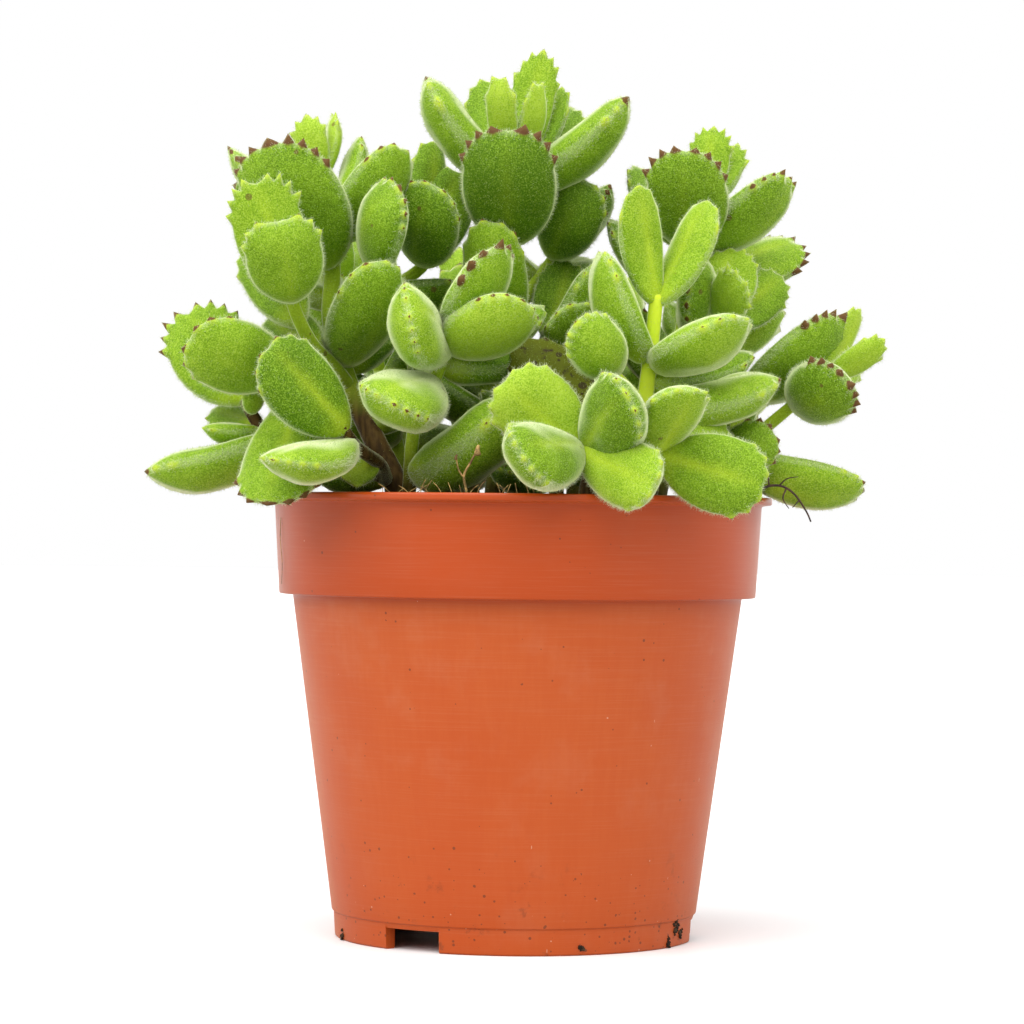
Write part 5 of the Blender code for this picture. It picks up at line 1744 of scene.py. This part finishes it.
@dataclass(frozen=True)
class Studio:
    """A white studio: the photograph's camera, a pale floor and three wide soft lights in a white room.

    Places are in metres. The camera's height and distance come from the curves of the pot's lip and
    foot, and focal is its focal length in pixels of an image 1024 pixels wide. floor_bounce is how
    much light the floor throws back at the pot, which is less than it shows.
    """

    camera_at: tuple = (-0.0013, -0.745, 0.0846)
    focal: float = 3591.0
    image: float = 1024.0
    sensor: float = 36.0
    pitch: float = 0.004233
    roll: float = 0.01135
    room_light: float = 0.50
    gloss_light: float = 1.5
    floor_bounce: float = 0.50
    floor_reach: float = 6.0
    lights: tuple = (
        ("softbox_top", (-0.18, -0.42, 0.85), 80, 3.5),
        ("softbox_left", (-0.90, -0.30, 0.40), 70, 0.75),
        ("softbox_right", (0.90, -0.30, 0.40), 70, 0.90),
    )

    def camera(self) -> None:
        """Adds the camera and makes it the scene's own."""
        made = bpy.data.objects.new("camera", bpy.data.cameras.new("camera"))
        made.data.sensor_width = self.sensor
        made.data.lens = self.focal * self.sensor / self.image
        made.data.clip_start = 0.01
        look = Matrix.Rotation(math.pi / 2 + self.pitch, 4, "X") @ Matrix.Rotation(self.roll, 4, "Z")
        made.matrix_world = Matrix.Translation(self.camera_at) @ look
        bpy.context.scene.collection.objects.link(made)
        bpy.context.scene.camera = made

    def light(self, name: str, place: tuple, spread_deg: float, power: float) -> None:
        """Adds a soft light, far off in the direction of place and as wide in the sky as its spread."""
        lamp = bpy.data.lights.new(name, "SUN")
        lamp.angle = math.radians(spread_deg)
        lamp.energy = power
        made = bpy.data.objects.new(name, lamp)
        made.location = place
        made.rotation_euler = (-Vector(place)).to_track_quat("-Z", "Y").to_euler()
        bpy.context.scene.collection.objects.link(made)

    def floor(self) -> None:
        """Adds the floor, a wide flat sheet of pale grey."""
        mesh = bpy.data.meshes.new("floor")
        far = self.floor_reach
        mesh.from_pydata([(-far, -far, 0), (far, -far, 0), (far, far, 0), (-far, far, 0)], [], [(0, 1, 2, 3)])
        made = bpy.data.objects.new("floor", mesh)
        bpy.context.scene.collection.objects.link(made)
        finish, wire, shader = new_material("pale_floor")
        direct = wire.node("LightPath").outputs["Is Camera Ray"]
        seen = wire.node("MapRange", i0=direct, i3=self.floor_bounce, i4=0.9)
        tone = wire.times(wire.span(wire.noise(wire.place(), 3), 0.3, 0.7, 0.98, 1.0), seen.outputs[0])
        color = wire.node("CombineColor", Red=tone, Green=tone, Blue=tone)
        wire.fill(shader, Base_Color=color.outputs[0], Roughness=0.6)
        mesh.materials.append(finish)

    def build(self) -> None:
        """Sets the camera, lights, floor and plain white surroundings."""
        self.camera()
        self.floor()
        for name, place, spread_deg, power in self.lights:
            self.light(name, place, spread_deg, power)
        world = bpy.data.worlds.new("white_room")
        world.use_nodes = True
        wire = Wiring(world.node_tree)
        path = wire.node("LightPath").outputs
        seen = wire.node("MapRange", i0=path["Is Camera Ray"], i3=self.room_light, i4=1.0).outputs[0]
        strength = wire.node("MapRange", i0=path["Is Glossy Ray"], i3=seen, i4=self.gloss_light).outputs[0]
        wire.fill(world.node_tree.nodes["Background"], Color=(1, 1, 1, 1), Strength=strength)
        scene = bpy.context.scene
        scene.world = world
        scene.view_settings.view_transform = "Standard"


def main() -> None:
    """Builds every piece in order and reports each."""
    logging.basicConfig(level=logging.INFO, format="%(name)s %(message)s")
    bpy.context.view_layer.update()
    Studio().build()
    log.info("studio set")
    straw = TwigFinish("dry_straw", (0.14, 0.075, 0.022), (0.55, 0.36, 0.12)).material()
    brown = TwigFinish("dry_bark", (0.020, 0.010, 0.006), (0.075, 0.035, 0.018)).material()
    soil = SoilFinish().material()
    GrowerPot().build(PotFinish().material())
    SoilBed().build(soil, straw)
    Debris().build(straw, brown, soil)
    plants = all_plants()
    placed = []
    for name, plant in plants.items():
        for leaf in plant.leaves:
            placed.append(PlacedLeaf(name, leaf, *stem_way(plant, leaf.base)))
    settle(plants, placed)
    log.info("leaves settled")
    skin, down = FoliageFinish().material(), HairFinish().material()
    for seed, (name, plant) in enumerate(plants.items()):
        own = [item for item in placed if item.plant_name == name]
        PlantDressing(name, plant, own, seed).build(skin, down)


if __name__ == "__main__":
    main()
